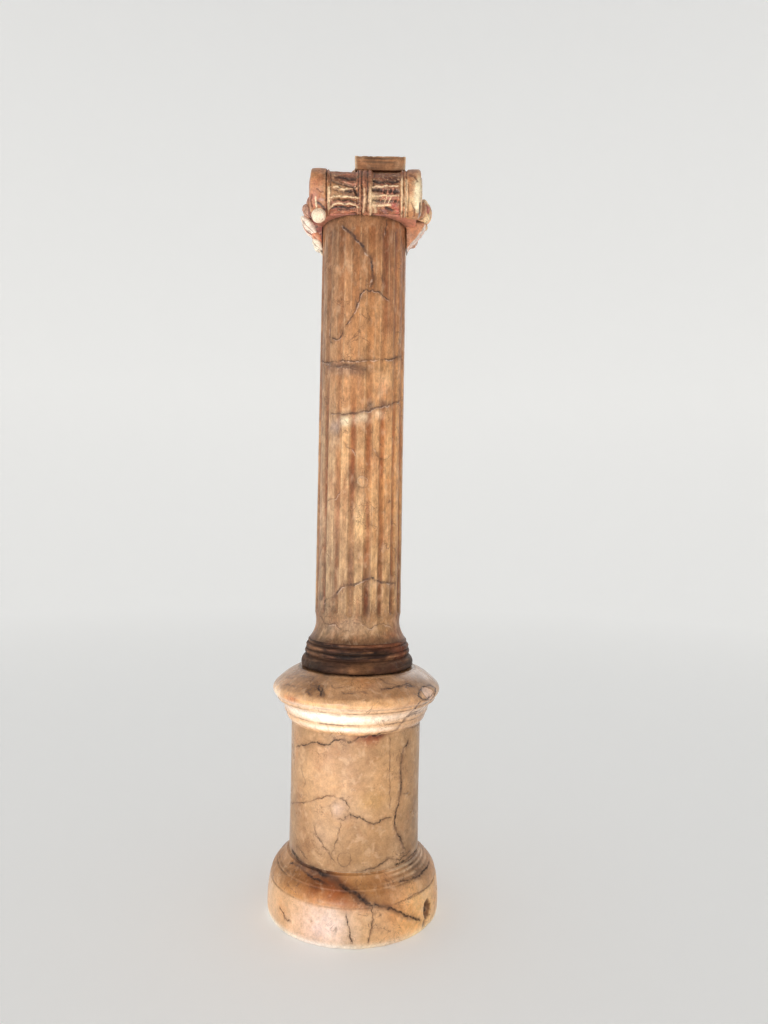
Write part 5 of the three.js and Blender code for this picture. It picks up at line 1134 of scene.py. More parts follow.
def make_roll(name, sign, rows, step, carved=1.0):
    prof = np.array(roll_profile(), float)
    seg = np.hypot(*np.diff(prof, axis=0).T)
    s = np.concatenate([[0], np.cumsum(seg)])
    n = int(s[-1] / step)
    q = np.linspace(0, s[-1], n)
    x = np.interp(q, s, prof[:, 0]); r = np.interp(q, s, prof[:, 1])
    u = (np.arange(rows) + 0.5) / rows * 2 - 1
    phi = math.pi * np.interp(u, [-1, -0.66, 0.66, 1], [-1, -0.53, 0.53, 1])   # 0 looks outward, positive up; the buried side has fewer rows
    X = np.repeat(x[None, :], rows, 0).ravel(); Rr = np.repeat(r[None, :], rows, 0).ravel()
    Q = np.repeat(q[None, :], rows, 0).ravel(); F = np.repeat(phi[:, None], n, 1).ravel()
    cap_l = Q < s[1] + 1e-6
    cap_r = Q > s[-2] - 1e-6
    t = F * 27.0
    p0 = np.stack([X, sign * Rr * np.cos(F), Rr * np.sin(F)], 1) + [0, sign * 200, 0]
    wx = 1.0 * fbm(p0 / 9.0, 2, 700); wt = 1.1 * fbm(p0 / 9.0 + 40, 2, 701)
    rel = np.zeros(len(X))
    side = ~(cap_l | cap_r)
    ml = smooth(LEAF_L[0] - 0.3, LEAF_L[0] + 1.2, X) * smooth(LEAF_L[1] + 0.3, LEAF_L[1] - 1.2, X) * side
    mr = smooth(LEAF_R[0] - 0.3, LEAF_R[0] + 1.2, X) * smooth(LEAF_R[1] + 0.3, LEAF_R[1] - 1.2, X) * side
    left = leaf_scallops(X + wx, t + wt + 1.2, LEAF_L[0], LEAF_L[1], 3)
    right = leaf_strokes(X + wx, t + wt + 2.4, LEAF_R[0], LEAF_R[1])
    wear = np.clip(0.95 + 0.7 * fbm(p0 / 13.0, 2, 702), 0.35, 1.2)
    shown = (smooth(-50, -42, t) * smooth(52, 44, t)) if sign < 0 else np.zeros(len(X))
    plain_side = 0.85 * (1 - shown)
    rel += carved * wear * (ml * left + mr * right) * plain_side
    shade = []
    if sign < 0:
        hand = np.zeros(len(X))
        jx = 0.55 * fbm(p0 / 3.0, 2, 720) + 0.5 * wx * 0.6
        jt = 0.55 * fbm(p0 / 3.0 + 20, 2, 721) + 0.5 * wt * 0.6
        apply_cuts(X + jx, t + jt, ROLL_CUTS, hand, shade)
        chisel = (ml + mr) * 0.55 * fbm(p0 / [2.6, 2.6, 2.0], 3, 722)
        rel += (hand * np.clip(0.9 + 0.5 * fbm(p0 / 5.0, 2, 723), 0.5, 1.3) + chisel) * side * shown
    ms = smooth(STRAP_L, STRAP_L + 1.0, X) * smooth(STRAP_R, STRAP_R - 1.0, X) * side
    xs = X - (STRAP_L + STRAP_R) / 2 + 0.7 * np.sin(t / 6.0) + wx * 0.5
    ribs = 0.85 * np.cos(xs / 5.6 * 2 * math.pi) + 0.35 * np.cos(t / 3.1 + xs) * fbm(p0 / 5.0, 2, 703)
    rel += ms * ribs * carved * (1 - 0.5 * shown)
    caps = spiral(Rr, np.arctan2(Rr * np.sin(F), -sign * Rr * np.cos(F)), 1.0)
    dents = -np.clip(fbm(p0 / 8.0, 3, 705) - 0.28, 0, 1) * 2.5 + 0.16 * fbm(p0 / 6.0, 2, 706) + 0.25 * fbm(p0 / 25.0, 2, 707)
    R2 = np.where(side, Rr + rel + dents, Rr)
    X2 = X + np.where(cap_l, -(caps * smooth(30, 27, Rr)), 0) + np.where(cap_r, caps * smooth(30, 27, Rr), 0)
    X2 += np.where(side, 0, 0.12 * fbm(p0 / 5.0, 2, 708))
    P = np.stack([X2 + CAP_X, sign * (ROLL_Y + R2 * np.cos(F)), ROLL_Z + R2 * np.sin(F)], 1)
    P[:, 2] = np.minimum(P[:, 2], CAP_TOP - 0.15)
    faces = grid_faces(rows, n, wrap=False)
    tail = np.arange(n - 1)
    last = (rows - 1) * n
    closing = np.stack([last + tail, last + tail + 1, tail + 1, tail], 1)
    faces = np.concatenate([faces, closing])
    if sign < 0:
        faces = faces[:, ::-1]
    ob = mesh_object(name, P, faces)
    # colour: dark hollows, pale tips (partly wear, partly painted highlight), orange rims
    rel_n = np.where(side, rel, caps * 0.8)
    col = np.tile(CAP_BASE, (len(X), 1)) * (1 + 0.30 * fbm(p0 / 14.0, 3, 710)[:, None])
    pinkish = smooth(0.0, 0.5, fbm(p0 / 17.0 + 9, 3, 711))[:, None]
    col = col * (1 - 0.5 * pinkish) + CAP_PINK * 0.5 * pinkish
    col = col * (1 - 0.35 * (ml + mr) * side)[:, None]
    rim = ((smooth(-50.5, -52, X) + smooth(51.5, 53.5, X)) * side)[:, None]
    rimc = lin((214, 150, 104)) * (1 + 0.25 * fbm(p0 * [1 / 5.0, 1 / 20.0, 1 / 20.0], 3, 712)[:, None])
    col = col * (1 - 0.8 * rim) + rimc * 0.8 * rim
    facing_down = smooth(0.25, -0.75, F)                    # painted highlight: what looks down toward the light is painted paler
    tips = (smooth(0.2, 1.3, rel_n) * (0.35 + 0.65 * facing_down) * np.clip(0.75 + 0.8 * fbm(p0 / 9.0, 2, 713), 0.1, 1))[:, None]
    col = col * (1 - 0.85 * tips) + CAP_PALE * 0.85 * tips
    hollows = (smooth(0.1, -1.2, rel_n) * np.clip(0.85 + 0.5 * fbm(p0 / 8.0, 2, 714), 0.2, 1))[:, None]
    col = col * (1 - 0.9 * hollows) + CAP_DARK * 0.9 * hollows
    red = (smooth(0.1, 0.6, fbm(p0 / 7.0 + 3, 3, 715)) * 0.5)[:, None] * (1 - tips)
    col = col * (1 - red) + lin((138, 60, 42)) * red
    shade = [(idx, w * side[idx] * shown[idx], tone) for idx, w, tone in shade]
    return ob, col, X, F, rel_n, p0, side, P, shade


def lay_tones(col, P, shade, seed=725, smoothness=0.0):
    grit = np.clip(0.95 + 0.55 * fbm(P / 2.6, 3, seed), 0.35, 1.15)
    for idx, w, tone in shade:
        k = np.clip(w * grit[idx], 0, 1)[:, None]
        col[idx] = col[idx] * (1 - k) + lin(TONES[tone]) * k
    # chips of bare pale stone and dark grime caught in the tool marks
    sp = (smooth(0.30, 0.5, fbm(P / 2.2, 3, seed + 4)) * 0.5 * (1 - smoothness))[:, None]
    dk = (smooth(0.26, 0.5, fbm(P / 2.4 + 30, 3, seed + 5)) * 0.6 * (1 - smoothness))[:, None]
    col[:] = col * (1 - sp) + CAP_PALE * sp
    col[:] = col * (1 - dk) + CAP_DARK * dk
    return col


def cap_paint(col, P, spots, seed=730, warp=3.0):
    """Patches on the capital. Each: x, y, z, half size mm, colour, strength."""
    w3 = np.stack([fbm(P / 6.0 + k * 9, 2, seed + k) for k in range(3)], 1) * warp
    grit = np.clip(0.8 + 0.6 * fbm(P / 4.0, 3, seed + 5), 0, 1.2)
    for x, y, z, sx, sy, sz, colour, strength in spots:
        d = (P + w3 - [x, y, z]) / [sx, sy, sz]
        w = np.clip(np.exp(-(d * d).sum(1)) * strength * grit, 0, 1)[:, None]
        col[:] = col * (1 - w) + lin(colour) * w
    return col


# the near-white spots on the right rim (x 68 to 71.5) and low beside the strap (x 12, z 936) are painted highlights
ROLL_SPOTS = [
    (-60, -78, 968, 8, 20, 7, (186, 120, 74), 0.8), (-58, -84, 955, 8, 20, 6, (206, 116, 72), 0.7), (-62, -84, 938, 6, 20, 12, (170, 92, 86), 0.75), (-52, -80, 962, 2.5, 20, 14, (126, 76, 50), 0.7),
    (-30, -76, 976, 20, 20, 3.5, (178, 120, 96), 0.7), (28, -76, 974, 22, 20, 5, (118, 88, 64), 0.7), (-30, -82, 962, 18, 20, 5, (126, 74, 54), 0.7), (-36, -84, 950, 10, 20, 6, (170, 128, 88), 0.6), (-20, -84, 936, 16, 20, 4, (150, 92, 72), 0.6),
    (58, -76, 972, 8, 20, 8, (142, 88, 62), 0.8), (58, -82, 952, 5, 20, 14, (208, 146, 98), 0.6), (60, -80, 932, 8, 20, 8, (226, 160, 110), 0.7), (69.5, -82, 950, 3, 20, 11, (255, 240, 204), 0.95), (60, -82, 950, 5, 20, 16, (196, 130, 88), 0.8), (0, -82, 966, 8, 20, 10, (128, 88, 66), 0.7),
    (-60, -80, 966, 9, 20, 9, (204, 140, 92), 0.5), (-60, -84, 944, 8, 20, 8, (226, 152, 112), 0.7), (-62, -82, 934, 8, 20, 8, (196, 110, 92), 0.7), (-56, -80, 955, 4, 20, 14, (176, 96, 62), 0.5),
    (68, -84, 944, 5, 20, 13, (255, 238, 196), 0.95), (71, -78, 956, 3, 20, 12, (250, 226, 184), 0.7), (60, -78, 934, 10, 20, 6, (250, 214, 160), 0.7), (62, -74, 968, 8, 20, 10, (190, 132, 96), 0.7),
    (55, -78, 970, 8, 20, 8, (150, 96, 76), 0.5), (49, -84, 944, 4, 20, 18, (248, 212, 160), 0.6), (12, -86, 936, 7, 20, 7, (252, 236, 190), 0.85), (10, -84, 946, 3, 20, 12, (240, 214, 170), 0.6),
    (36, -82, 936, 12, 20, 8, (212, 128, 112), 0.7), (26, -80, 968, 20, 20, 7, (110, 76, 60), 0.5), (-24, -80, 972, 22, 20, 5, (190, 128, 100), 0.6), (-34, -84, 944, 16, 20, 10, (240, 196, 140), 0.45),
    (-26, -78, 932, 22, 20, 5, (146, 84, 76), 0.6), (-30, -70, 926, 24, 20, 5, (214, 136, 120), 0.7), (28, -70, 926, 24, 20, 5, (218, 138, 120), 0.7), (0, -72, 926, 20, 20, 4, (236, 188, 160), 0.6),
    (-4, -80, 968, 8, 20, 9, (140, 98, 74), 0.5),
]

front_roll, col, X, F, rel_n, p0, side, P, shade = make_roll("capital_roll_front", -1, 244, 0.60)
cap_paint(col, P, ROLL_SPOTS)
lay_tones(col, P, shade, smoothness=0.85 * np.clip(smooth(-50.5, -52, X) + smooth(51.5, 53.5, X), 0, 1))
rims = np.clip(smooth(-50.5, -52, X) + smooth(51.5, 53.5, X), 0, 1)[:, None]
middle = (smooth(STRAP_L - 1, STRAP_L + 1, X) * smooth(STRAP_R + 1, STRAP_R - 1, X))[:, None]
col *= [0.94, 0.85, 0.77]
col *= 1 + rims * [-0.06, 0.08, 0.18] - middle * [0.12, 0.16, 0.18]
put_color(front_roll, "stone", col)
# darker in the hollows and the rims' grooves: partly grime, partly painted shade
put_attr(front_roll, "grime_and_shade", np.clip(0.75 * smooth(-0.3, -1.5, rel_n) + (np.exp(-((X + 49.9) / 0.8) ** 2) + np.exp(-((X - 48.0) / 0.7) ** 2) + np.exp(-((X - 51.7) / 0.7) ** 2)) * side * 0.7, 0, 1))
back_roll, col, X, F, rel_n, p0, side, P, shade = make_roll("capital_roll_back", 1, 156, 1.0, carved=0.85)
lay_tones(col, P, shade, 735)
col *= [0.92, 0.84, 0.76]
put_color(back_roll, "stone", col)
# darker in the hollows: partly grime, partly painted shade
put_attr(back_roll, "grime_and_shade", np.clip(0.75 * smooth(-0.3, -1.5, rel_n), 0, 1))


class Lump:
    """Collects the smaller carved shapes of the capital into one mesh."""
    def __init__(self):
        self.v, self.f, self.c, self.d = [], [], [], []
        self.n = 0

    def add(self, pts, faces, col, grime_and_shade):
        self.v.append(pts); self.f.append(np.asarray(faces) + self.n); self.c.append(col); self.d.append(grime_and_shade)
        self.n += len(pts)

    def blob(self, at, axes, radii, rows=36, cols=52, shape=None, colour=(220, 170, 130), seed=1, rough=0.35, pole=2):
        """A rounded shape: axes are its three directions, radii its half sizes; shape(u, v) swells or cuts it."""
        u = np.linspace(0, math.pi, rows)
        v = np.arange(cols) / cols * 2 * math.pi
        U = np.repeat(u[:, None], cols, 1).ravel(); V = np.repeat(v[None, :], rows, 0).ravel()
        d = np.stack([np.sin(U) * np.cos(V), np.sin(U) * np.sin(V), np.cos(U)], 1)
        k = np.ones(len(U)); cav = np.zeros(len(U))
        if shape is not None:
            k, cav = shape(U, V, d)
        loc = d * (k[:, None] if k.ndim == 1 else k) * np.array(radii)
        ax = np.array(axes, float)
        P = np.array(at, float) + loc @ ax
        P = P + (d @ ax) * (rough * fbm(P / 4.5, 3, seed))[:, None]
        base = np.tile(lin(colour), (len(U), 1)) * (1 + 0.25 * fbm(P / 6.0, 3, seed + 3)[:, None])
        w = np.clip(cav, 0, 1)[:, None]
        base = base * (1 - 0.85 * w) + CAP_DARK * 0.85 * w
        self.add(P, grid_faces(rows, cols), base, np.clip(cav, 0, 1) * 0.5)

    def finish(self, name):
        ob = mesh_object(name, np.concatenate(self.v), np.concatenate(self.f))
        put_color(ob, "stone", np.concatenate(self.c))
        put_attr(ob, "grime_and_shade", np.concatenate(self.d))
        return ob


def frame_of(normal, up=(0, 0, 1)):
    n = np.array(normal, float); n /= np.linalg.norm(n)
    a = np.array(up, float); a -= n * a.dot(n); a /= np.linalg.norm(a)
    b = np.cross(n, a)
    return np.array([a, b, n])        # along, across, outward


def leaf_shape(ribs=5, tip=1.0):
    def f(U, V, d):
        along, across, out = d[:, 0], d[:, 1], d[:, 2]
        waist = 0.62 + 0.38 * np.cos((along + 0.25) * 1.5)
        k = np.where(np.abs(along) > 0.0, 1.0, 1.0) * (0.75 + 0.25 * waist)
        a = np.arctan2(across, 1.3 + along)
        g = np.abs(np.sin(a * ribs * 1.9)) ** 0.6
        front = smooth(-0.1, 0.4, out)
        k = k - front * 0.11 * (1 - g)
        cav = front * smooth(0.45, 0.05, g) * 0.8
        return k, cav
    return f


def petal_shape(grooves=2, taper=0.45):
    """A long leaf with a blunt root, a narrow tip and grooves along it."""
    def f(U, V, d):
        along, across, out = d[:, 0], d[:, 1], d[:, 2]
        thin = 1 - taper * smooth(0.0, 1.0, along) - 0.15 * smooth(-0.4, -1.0, along)
        a = across / np.maximum(np.sqrt(np.clip(1 - along ** 2, 0.02, 1)), 0.15)
        front = smooth(-0.15, 0.35, out)
        cut = np.zeros(len(U))
        for g in (np.arange(grooves) + 0.5) / grooves * 1.5 - 0.75:
            cut = np.maximum(cut, np.exp(-((a - g - 0.08 * along) / 0.11) ** 2))
        cut = cut * front * smooth(1.0, 0.7, np.abs(along))
        curl = 1 + 0.10 * smooth(0.45, 0.9, along) * front
        k = np.stack([np.ones(len(U)), thin * curl, thin * curl * (1 - 0.24 * cut)], 1)
        return k, cut * 0.62
    return f


def rosette_shape(petals=7):
    def f(U, V, d):
        ang = np.arctan2(d[:, 1], d[:, 0])
        rad = np.hypot(d[:, 0], d[:, 1])
        g = np.abs(np.sin(ang * petals / 2.0))
        front = smooth(0.05, 0.35, d[:, 2])
        cut = smooth(0.25, 0.0, g) * smooth(0.25, 0.5, rad) * front
        ring = np.exp(-((rad - 0.36) / 0.06) ** 2) * front
        return 1 - 0.14 * cut - 0.10 * ring, np.clip(cut + ring * 0.9, 0, 1)
    return f


def egg_shape():
    def f(U, V, d):
        ang = np.arctan2(d[:, 1], d[:, 0])
        rad = np.hypot(d[:, 0], d[:, 1])
        shell = np.exp(-((rad - 0.80) / 0.07) ** 2) * smooth(-0.2, 0.2, d[:, 2])
        return 1 - 0.09 * shell, shell * 0.9
    return f


def relief_panel(lump, sx, cols=96, rows=78):
    """The upright face between two volutes: the canal above, a hollow under it and the bed of the eggs."""
    y = np.linspace(-44, 44, cols); z = np.linspace(CAP_Z0, CAP_TOP - 0.3, rows)
    Z = np.repeat(z[:, None], cols, 1).ravel(); Y = np.repeat(y[None, :], rows, 0).ravel()
    sag = 3.0 * (1 - (Y / 44) ** 2)
    top = CAP_TOP - Z
    f = 70.6 + 1.8 * np.exp(-((top - 1.8) / 1.6) ** 2) + 1.9 * np.exp(-((top - 19.5 - sag) / 1.7) ** 2) - 2.6 * np.exp(-((top - 10.5 - sag / 2) / 6.0) ** 2)
    below = smooth(21 + 2, 25 + 2, top - sag)
    f = f * (1 - below) + (66.5 - 0.10 * np.maximum(0, top - 30)) * below
    p = np.stack([sx * f, Y, Z], 1)
    f = f + 0.35 * fbm(p / 7.0, 3, 740 + sx) - np.clip(fbm(p / 9.0, 3, 745 + sx) - 0.25, 0, 1) * 2.5
    pts = np.stack([sx * f + CAP_X, Y, Z], 1)
    faces = grid_faces(rows, cols, wrap=False)
    if sx < 0:
        faces = faces[:, ::-1]
    c = np.tile(CAP_BASE, (len(Y), 1)) * (1 + 0.3 * fbm(p / 12.0, 3, 748 + sx)[:, None])
    low = (below * 0.45)[:, None]
    c = c * (1 - low) + CAP_DARK * low
    hi = (smooth(71.2, 72.4, f) * 0.6)[:, None]
    c = c * (1 - hi) + CAP_PALE * hi
    d = np.clip(np.exp(-((top - 24 - sag) / 2.0) ** 2) * 0.8, 0, 1)
    lump.add(pts, faces, c, d)


bits = Lump()
for sx in (-1, 1):
    relief_panel(bits, sx)
    # eggs beside the middle, and four small flat pieces beside them; the large middle one is added further down
    for k in (-1, 1):
        bits.blob((CAP_X + sx * 70.5, k * 21, 945), frame_of((sx, 0.25 * k, -0.35)), (12.5, 8.6, 10.5), shape=egg_shape(), colour=(214, 158, 118), seed=760 + k + 3 * sx)
    for k in (-1.55, -0.52, 0.52, 1.55):
        bits.blob((CAP_X + sx * 72.5, k * 20.5, 941), frame_of((sx, 0, -0.3)), (12, 2.4, 6.0), rows=20, cols=24, colour=(188, 128, 92), seed=770 + int(4 * k) + sx)
for side_y in (-1, 1):
    # round bosses under the left volutes; those on the right are lost
    bits.blob((-57.8, side_y * 66.5, 918.4), frame_of((-0.2, side_y, -0.5)), (9.3, 9.3, 9.0), shape=None, colour=(246, 222, 194), seed=780 + side_y, rough=0.7)
    bits.blob((-68.0, side_y * 55.0, 926.0), frame_of((-0.8, side_y, -0.5)), (7.5, 5.0, 4.5), shape=leaf_shape(), colour=(150, 96, 82), seed=783 + side_y, rows=26, cols=34, rough=1.0)
    bits.blob((-78.0, side_y * 30.0, 940.0), frame_of((-0.8, side_y, -0.3), (-0.3, 0, 1)), (9.0, 6.0, 5.0), shape=leaf_shape(4), colour=(196, 150, 128), seed=786 + side_y, rows=30, cols=40, rough=1.3)
# right face: a carved rosette on the middle egg, its petals worn to knobs
bits.blob((78.6, -8.0, 945.5), frame_of((1, -0.5, -0.12)), (16.6, 15.5, 12.5), rows=60, cols=80, shape=rosette_shape(8), colour=(232, 184, 138), seed=790, rough=0.8)
for k, (yy, zz, xx, ln, wd, th, c) in enumerate([
        (-14, 957, 81, 7.0, 5.0, 6.0, (246, 214, 176)), (-17, 948, 84, 7.0, 5.0, 6.0, (206, 132, 112)), (-15, 938, 84, 7.0, 5.0, 5.5, (248, 216, 170)), (-6, 932, 81.5, 6.5, 5.5, 5.0, (196, 130, 96)),
        (14, 957, 81, 7.0, 5.0, 6.0, (236, 196, 152)), (17, 947, 84, 7.0, 5.0, 6.0, (200, 140, 110)), (14, 937, 83, 7.0, 5.0, 5.5, (236, 196, 150))]):
    bits.blob((xx - 1.0, yy, zz), frame_of((1, 0.04 * yy, 0.02 * (zz - 945))), (ln, wd, th), rows=30, cols=40, shape=leaf_shape(3), colour=c, seed=850 + k, rough=0.7)
# left face: the middle egg with its pointed leaves
bits.blob((CAP_X - 71.6, 0, 949), frame_of((-1, -0.2, -0.2)), (15.5, 14.0, 16.2), rows=56, cols=72, shape=rosette_shape(6), colour=(196, 132, 104), seed=795, rough=0.7)
for k, (yy, zz, xx, ln, wd, nrm) in enumerate([
        (-16, 957, -79, 8.5, 4.6, (-1, -0.8, 0.1)), (-18, 947, -80.5, 9.0, 4.8, (-1, -0.9, -0.3)), (-14, 938, -82, 9.5, 5.0, (-1, -0.8, -0.6)), (-6, 934, -84, 9.0, 5.2, (-1, -0.5, -0.8)),
        (16, 957, -79, 8.5, 4.6, (-1, 0.8, 0.1)), (18, 947, -80.5, 9.0, 4.8, (-1, 0.9, -0.3)), (14, 938, -82, 9.5, 5.0, (-1, 0.8, -0.6)), (6, 934, -84, 9.0, 5.2, (-1, 0.5, -0.8))]):
    bits.blob((CAP_X + xx + 1.0, yy, zz), frame_of(nrm, (-0.7, 0, -0.7)), (ln, wd, 3.4), rows=30, cols=40, shape=petal_shape(2, 0.35), colour=(226, 184, 156) if k % 2 else (186, 128, 108), seed=800 + k, rough=0.8)
# left drop: tiers of pale leaves over a dark tapering root
def pendant(lump):
    zs = np.linspace(893.6, 936, 64); cols = 72
    v = np.arange(cols) / cols * 2 * math.pi
    Z = np.repeat(zs[:, None], cols, 1).ravel(); V = np.repeat(v[None, :], len(zs), 0).ravel()
    xo = np.interp(Z, [893.6, 896, 903, 911, 922, 930, 936], [57.0, 57.6, 60.2, 64.6, 71.6, 76.0, 77.0])
    xi = 52.0
    cx, hx = (xo + xi) / 2, (xo - xi) / 2
    hy = np.interp(Z, [893, 905, 920, 943], [6.0, 9.5, 13.0, 18.0])
    c, s = np.cos(V), np.sin(V)
    x = cx + hx * np.sign(c) * np.abs(c) ** 0.6
    y = hy * np.sign(s) * np.abs(s) ** 0.6
    f = (Z + 2.0 * np.cos(V * 5)) / 10.5
    f = f - np.floor(f)
    lift = 1.7 * (1 - f) * smooth(0.0, 0.12, f)
    nrm = np.stack([c, s], 1)
    p = np.stack([x, y, Z], 1)
    x = x + nrm[:, 0] * (lift + 0.6 * fbm(p / 4.0, 3, 840)); y = y + nrm[:, 1] * (lift + 0.6 * fbm(p / 4.0, 3, 841))
    pts = np.stack([-x, y, Z], 1)
    rr = np.hypot(pts[:, 0], pts[:, 1])
    keep = np.where(Z < 924.2, np.maximum(59.3 / np.maximum(rr, 1e-6), 1.0), 1.0)
    pts[:, :2] *= keep[:, None]
    col = np.tile(lin((150, 92, 82)), (len(Z), 1)) * (1 + 0.3 * fbm(p / 7.0, 3, 842)[:, None])
    dark = (smooth(0.30, 0.0, f) * 0.75)[:, None]
    col = col * (1 - dark) + lin((66, 38, 36)) * dark
    hi = (np.exp(-((f - 0.2) / 0.1) ** 2) * 0.45)[:, None]
    col = col * (1 - hi) + lin((226, 176, 148)) * hi
    lump.add(pts, grid_faces(len(zs), cols)[:, ::-1], col, np.clip(dark[:, 0] * 0.5, 0, 1))
    ring_pts = pts[:cols]
    centre = ring_pts.mean(0)
    cp = np.concatenate([ring_pts, centre + (ring_pts - centre) * 0.02])
    lump.add(cp, grid_faces(2, cols), np.tile(lin((150, 92, 82)), (len(cp), 1)), np.zeros(len(cp)))


pendant(bits)
for k, (xx, yy, zz, ln, wd, th, up, c) in enumerate([
        (-75.4, -10.6, 925.8, 17.6, 7.6, 6.4, (0.74, 0.05, -0.67), (255, 232, 214)), (-75.4, 10.6, 925.8, 17.6, 7.6, 6.4, (0.74, -0.05, -0.67), (255, 232, 214)),
        (-77.0, 0.0, 925.0, 14.0, 5.6, 5.0, (0.66, 0.0, -0.74), (206, 142, 122)),
        (-64.6, -8.6, 911.2, 9.5, 6.0, 5.6, (0.62, 0, -0.78), (230, 156, 122)), (-64.6, 8.6, 911.2, 9.5, 6.0, 5.6, (0.62, 0, -0.78), (230, 156, 122)),
        (-65.6, 0.0, 909.6, 9.5, 5.0, 5.0, (0.58, 0, -0.8), (240, 200, 174)),
        (-63.8, -7.0, 902.0, 10.0, 6.4, 5.8, (0.60, 0, -0.8), (255, 238, 216)), (-63.8, 7.0, 902.0, 10.0, 6.4, 5.8, (0.60, 0, -0.8), (255, 238, 216))]):
    bits.blob((xx, yy, zz), frame_of((-0.72, 0.045 * yy, -0.62), up), (ln, wd, th), rows=38, cols=48, shape=petal_shape(2), colour=c, seed=820 + k, rough=0.6)


def stump(lump):
    """Where the right drop broke away: a smooth flank and a rough, bright outer edge."""
    zs = np.linspace(894.5, 934, 70); cols = 84
    v = np.arange(cols) / cols * 2 * math.pi
    Z = np.repeat(zs[:, None], cols, 1).ravel(); V = np.repeat(v[None, :], len(zs), 0).ravel()
    xo = np.interp(Z, [894.5, 897.5, 903, 911, 925, 929, 931.5, 934], [58.4, 59.6, 63.4, 71.6, 82.6, 84.6, 83.0, 76.0])
    xi = 52.0
    cx, hx = (xo + xi) / 2, (xo - xi) / 2
    hy = np.interp(Z, [894, 915, 943], [10.5, 15.5, 19.0])
    e = 0.42
    c, s = np.cos(V), np.sin(V)
    x = cx + hx * np.sign(c) * np.abs(c) ** e
    y = hy * np.sign(s) * np.abs(s) ** e
    p = np.stack([x, y, Z], 1)
    outer = smooth(0.55, 0.95, c)
    n = fbm(p / 2.6, 3, 850); n2 = fbm(p / 1.3, 2, 851)
    x = x + outer * (1.5 * n + 0.8 * n2) - outer * 0.8
    y = y + (1 - outer) * 0.3 * fbm(p / 9.0, 2, 852)
    pts = np.stack([x, y, Z], 1)
    rr = np.hypot(pts[:, 0], pts[:, 1])
    keep = np.maximum(59.3 / np.maximum(rr, 1e-6), 1.0) * (Z < 924.2) + 1.0 * (Z >= 924.2)
    pts[:, :2] *= keep[:, None]
    col = np.tile(lin((200, 138, 102)), (len(Z), 1)) * (1 + 0.22 * fbm(p / 8.0, 3, 853)[:, None])
    up = smooth(925, 940, Z)[:, None]
    col = col * (1 - 0.3 * up) + lin((214, 156, 114)) * 0.3 * up
    w = np.clip(outer * (0.8 + 0.6 * n2) * (0.30 + 0.70 * smooth(-3, -9, y)), 0, 1)[:, None]
    col = col * (1 - w) + lin((248, 232, 214)) * w
    sp = (smooth(0.25, 0.5, n) * outer)[:, None]
    col = col * (1 - 0.7 * sp) + lin((150, 96, 70)) * 0.7 * sp
    dk = (smooth(928.5, 932, Z + 1.2 * n) * 0.85)[:, None]
    col = col * (1 - dk) + lin((78, 46, 32)) * dk
    f = grid_faces(len(zs), cols)
    lump.add(pts, f, col, np.clip(0.5 * smooth(897, 894.5, Z), 0, 1))
    # top cap is buried in the egg, the foot closes on the shaft
    for row in (0, len(zs) - 1):
        ring_pts = pts[row * cols:(row + 1) * cols]
        centre = ring_pts.mean(0)
        cp = np.concatenate([ring_pts, centre + (ring_pts - centre) * 0.02])
        lump.add(cp, grid_faces(2, cols), np.tile(lin((206, 126, 82)), (len(cp), 1)), np.zeros(len(cp)))


stump(bits)
carving = bits.finish("capital_carving")


def block(name, x0, x1, y0, y1, z0, z1, step, seed, rgb, bevel=1.6, rough=0.3):
    """A dressed block with worn edges, meshed finely enough to take its colour."""
    cx, cy, cz = (x0 + x1) / 2, (y0 + y1) / 2, (z0 + z1) / 2
    hx, hy, hz = (x1 - x0) / 2, (y1 - y0) / 2, (z1 - z0) / 2
    V, Fc, base = [], [], 0
    for ax in range(3):
        o = [a for a in range(3) if a != ax]
        h = (hx, hy, hz)
        na, nb = max(4, int(2 * h[o[0]] / step)), max(4, int(2 * h[o[1]] / step))
        for sgn in (-1, 1):
            a = np.linspace(-h[o[0]], h[o[0]], na); b = np.linspace(-h[o[1]], h[o[1]], nb)
            p = np.zeros((na * nb, 3))
            p[:, o[0]] = np.repeat(a[:, None], nb, 1).ravel(); p[:, o[1]] = np.repeat(b[None, :], na, 0).ravel(); p[:, ax] = sgn * h[ax]
            f = grid_faces(na, nb, wrap=False)
            turn = (sgn > 0) if ax != 1 else (sgn < 0)
            V.append(p); Fc.append((f if turn else f[:, ::-1]) + base); base += len(p)
    p = np.concatenate(V)
    q = np.clip(p, [-hx + bevel, -hy + bevel, -hz + bevel], [hx - bevel, hy - bevel, hz - bevel])
    d = p - q
    ln = np.maximum(np.linalg.norm(d, axis=1), 1e-6)
    p = q + d / ln[:, None] * np.minimum(ln, bevel)[:, None]
    n = d / ln[:, None]
    p = p + [cx, cy, cz]
    p = p + n * (rough * fbm(p / 12.0, 3, seed) - np.clip(fbm(p / 8.0, 3, seed + 2) - 0.28, 0, 1) * 2.0 * (ln > bevel * 1.02))[:, None]
    ob = mesh_object(name, p, np.concatenate(Fc))
    col = np.tile(lin(rgb), (len(p), 1)) * (1 + 0.3 * fbm(p / 14.0, 3, seed + 4)[:, None])
    return ob, col, p


core, col, P = block("capital_core", CAP_X - 67, CAP_X + 67, -54, 54, CAP_Z0, CAP_TOP - 0.4, 2.1, 860, (190, 124, 100))
cap_paint(col, P, [(0, -50, 924, 60, 8, 3, (214, 140, 124), 0.7), (0, 0, 982, 80, 80, 3, (150, 106, 80), 0.6), (30, 30, 982, 20, 20, 3, (120, 84, 64), 0.5)])
put_color(core, "stone", col)
# painted shade: darker on the underside next to the shaft
put_attr(core, "grime_and_shade", np.clip(0.5 * smooth(66, 60, np.hypot(P[:, 0], P[:, 1])) * (P[:, 2] < 925), 0, 1))

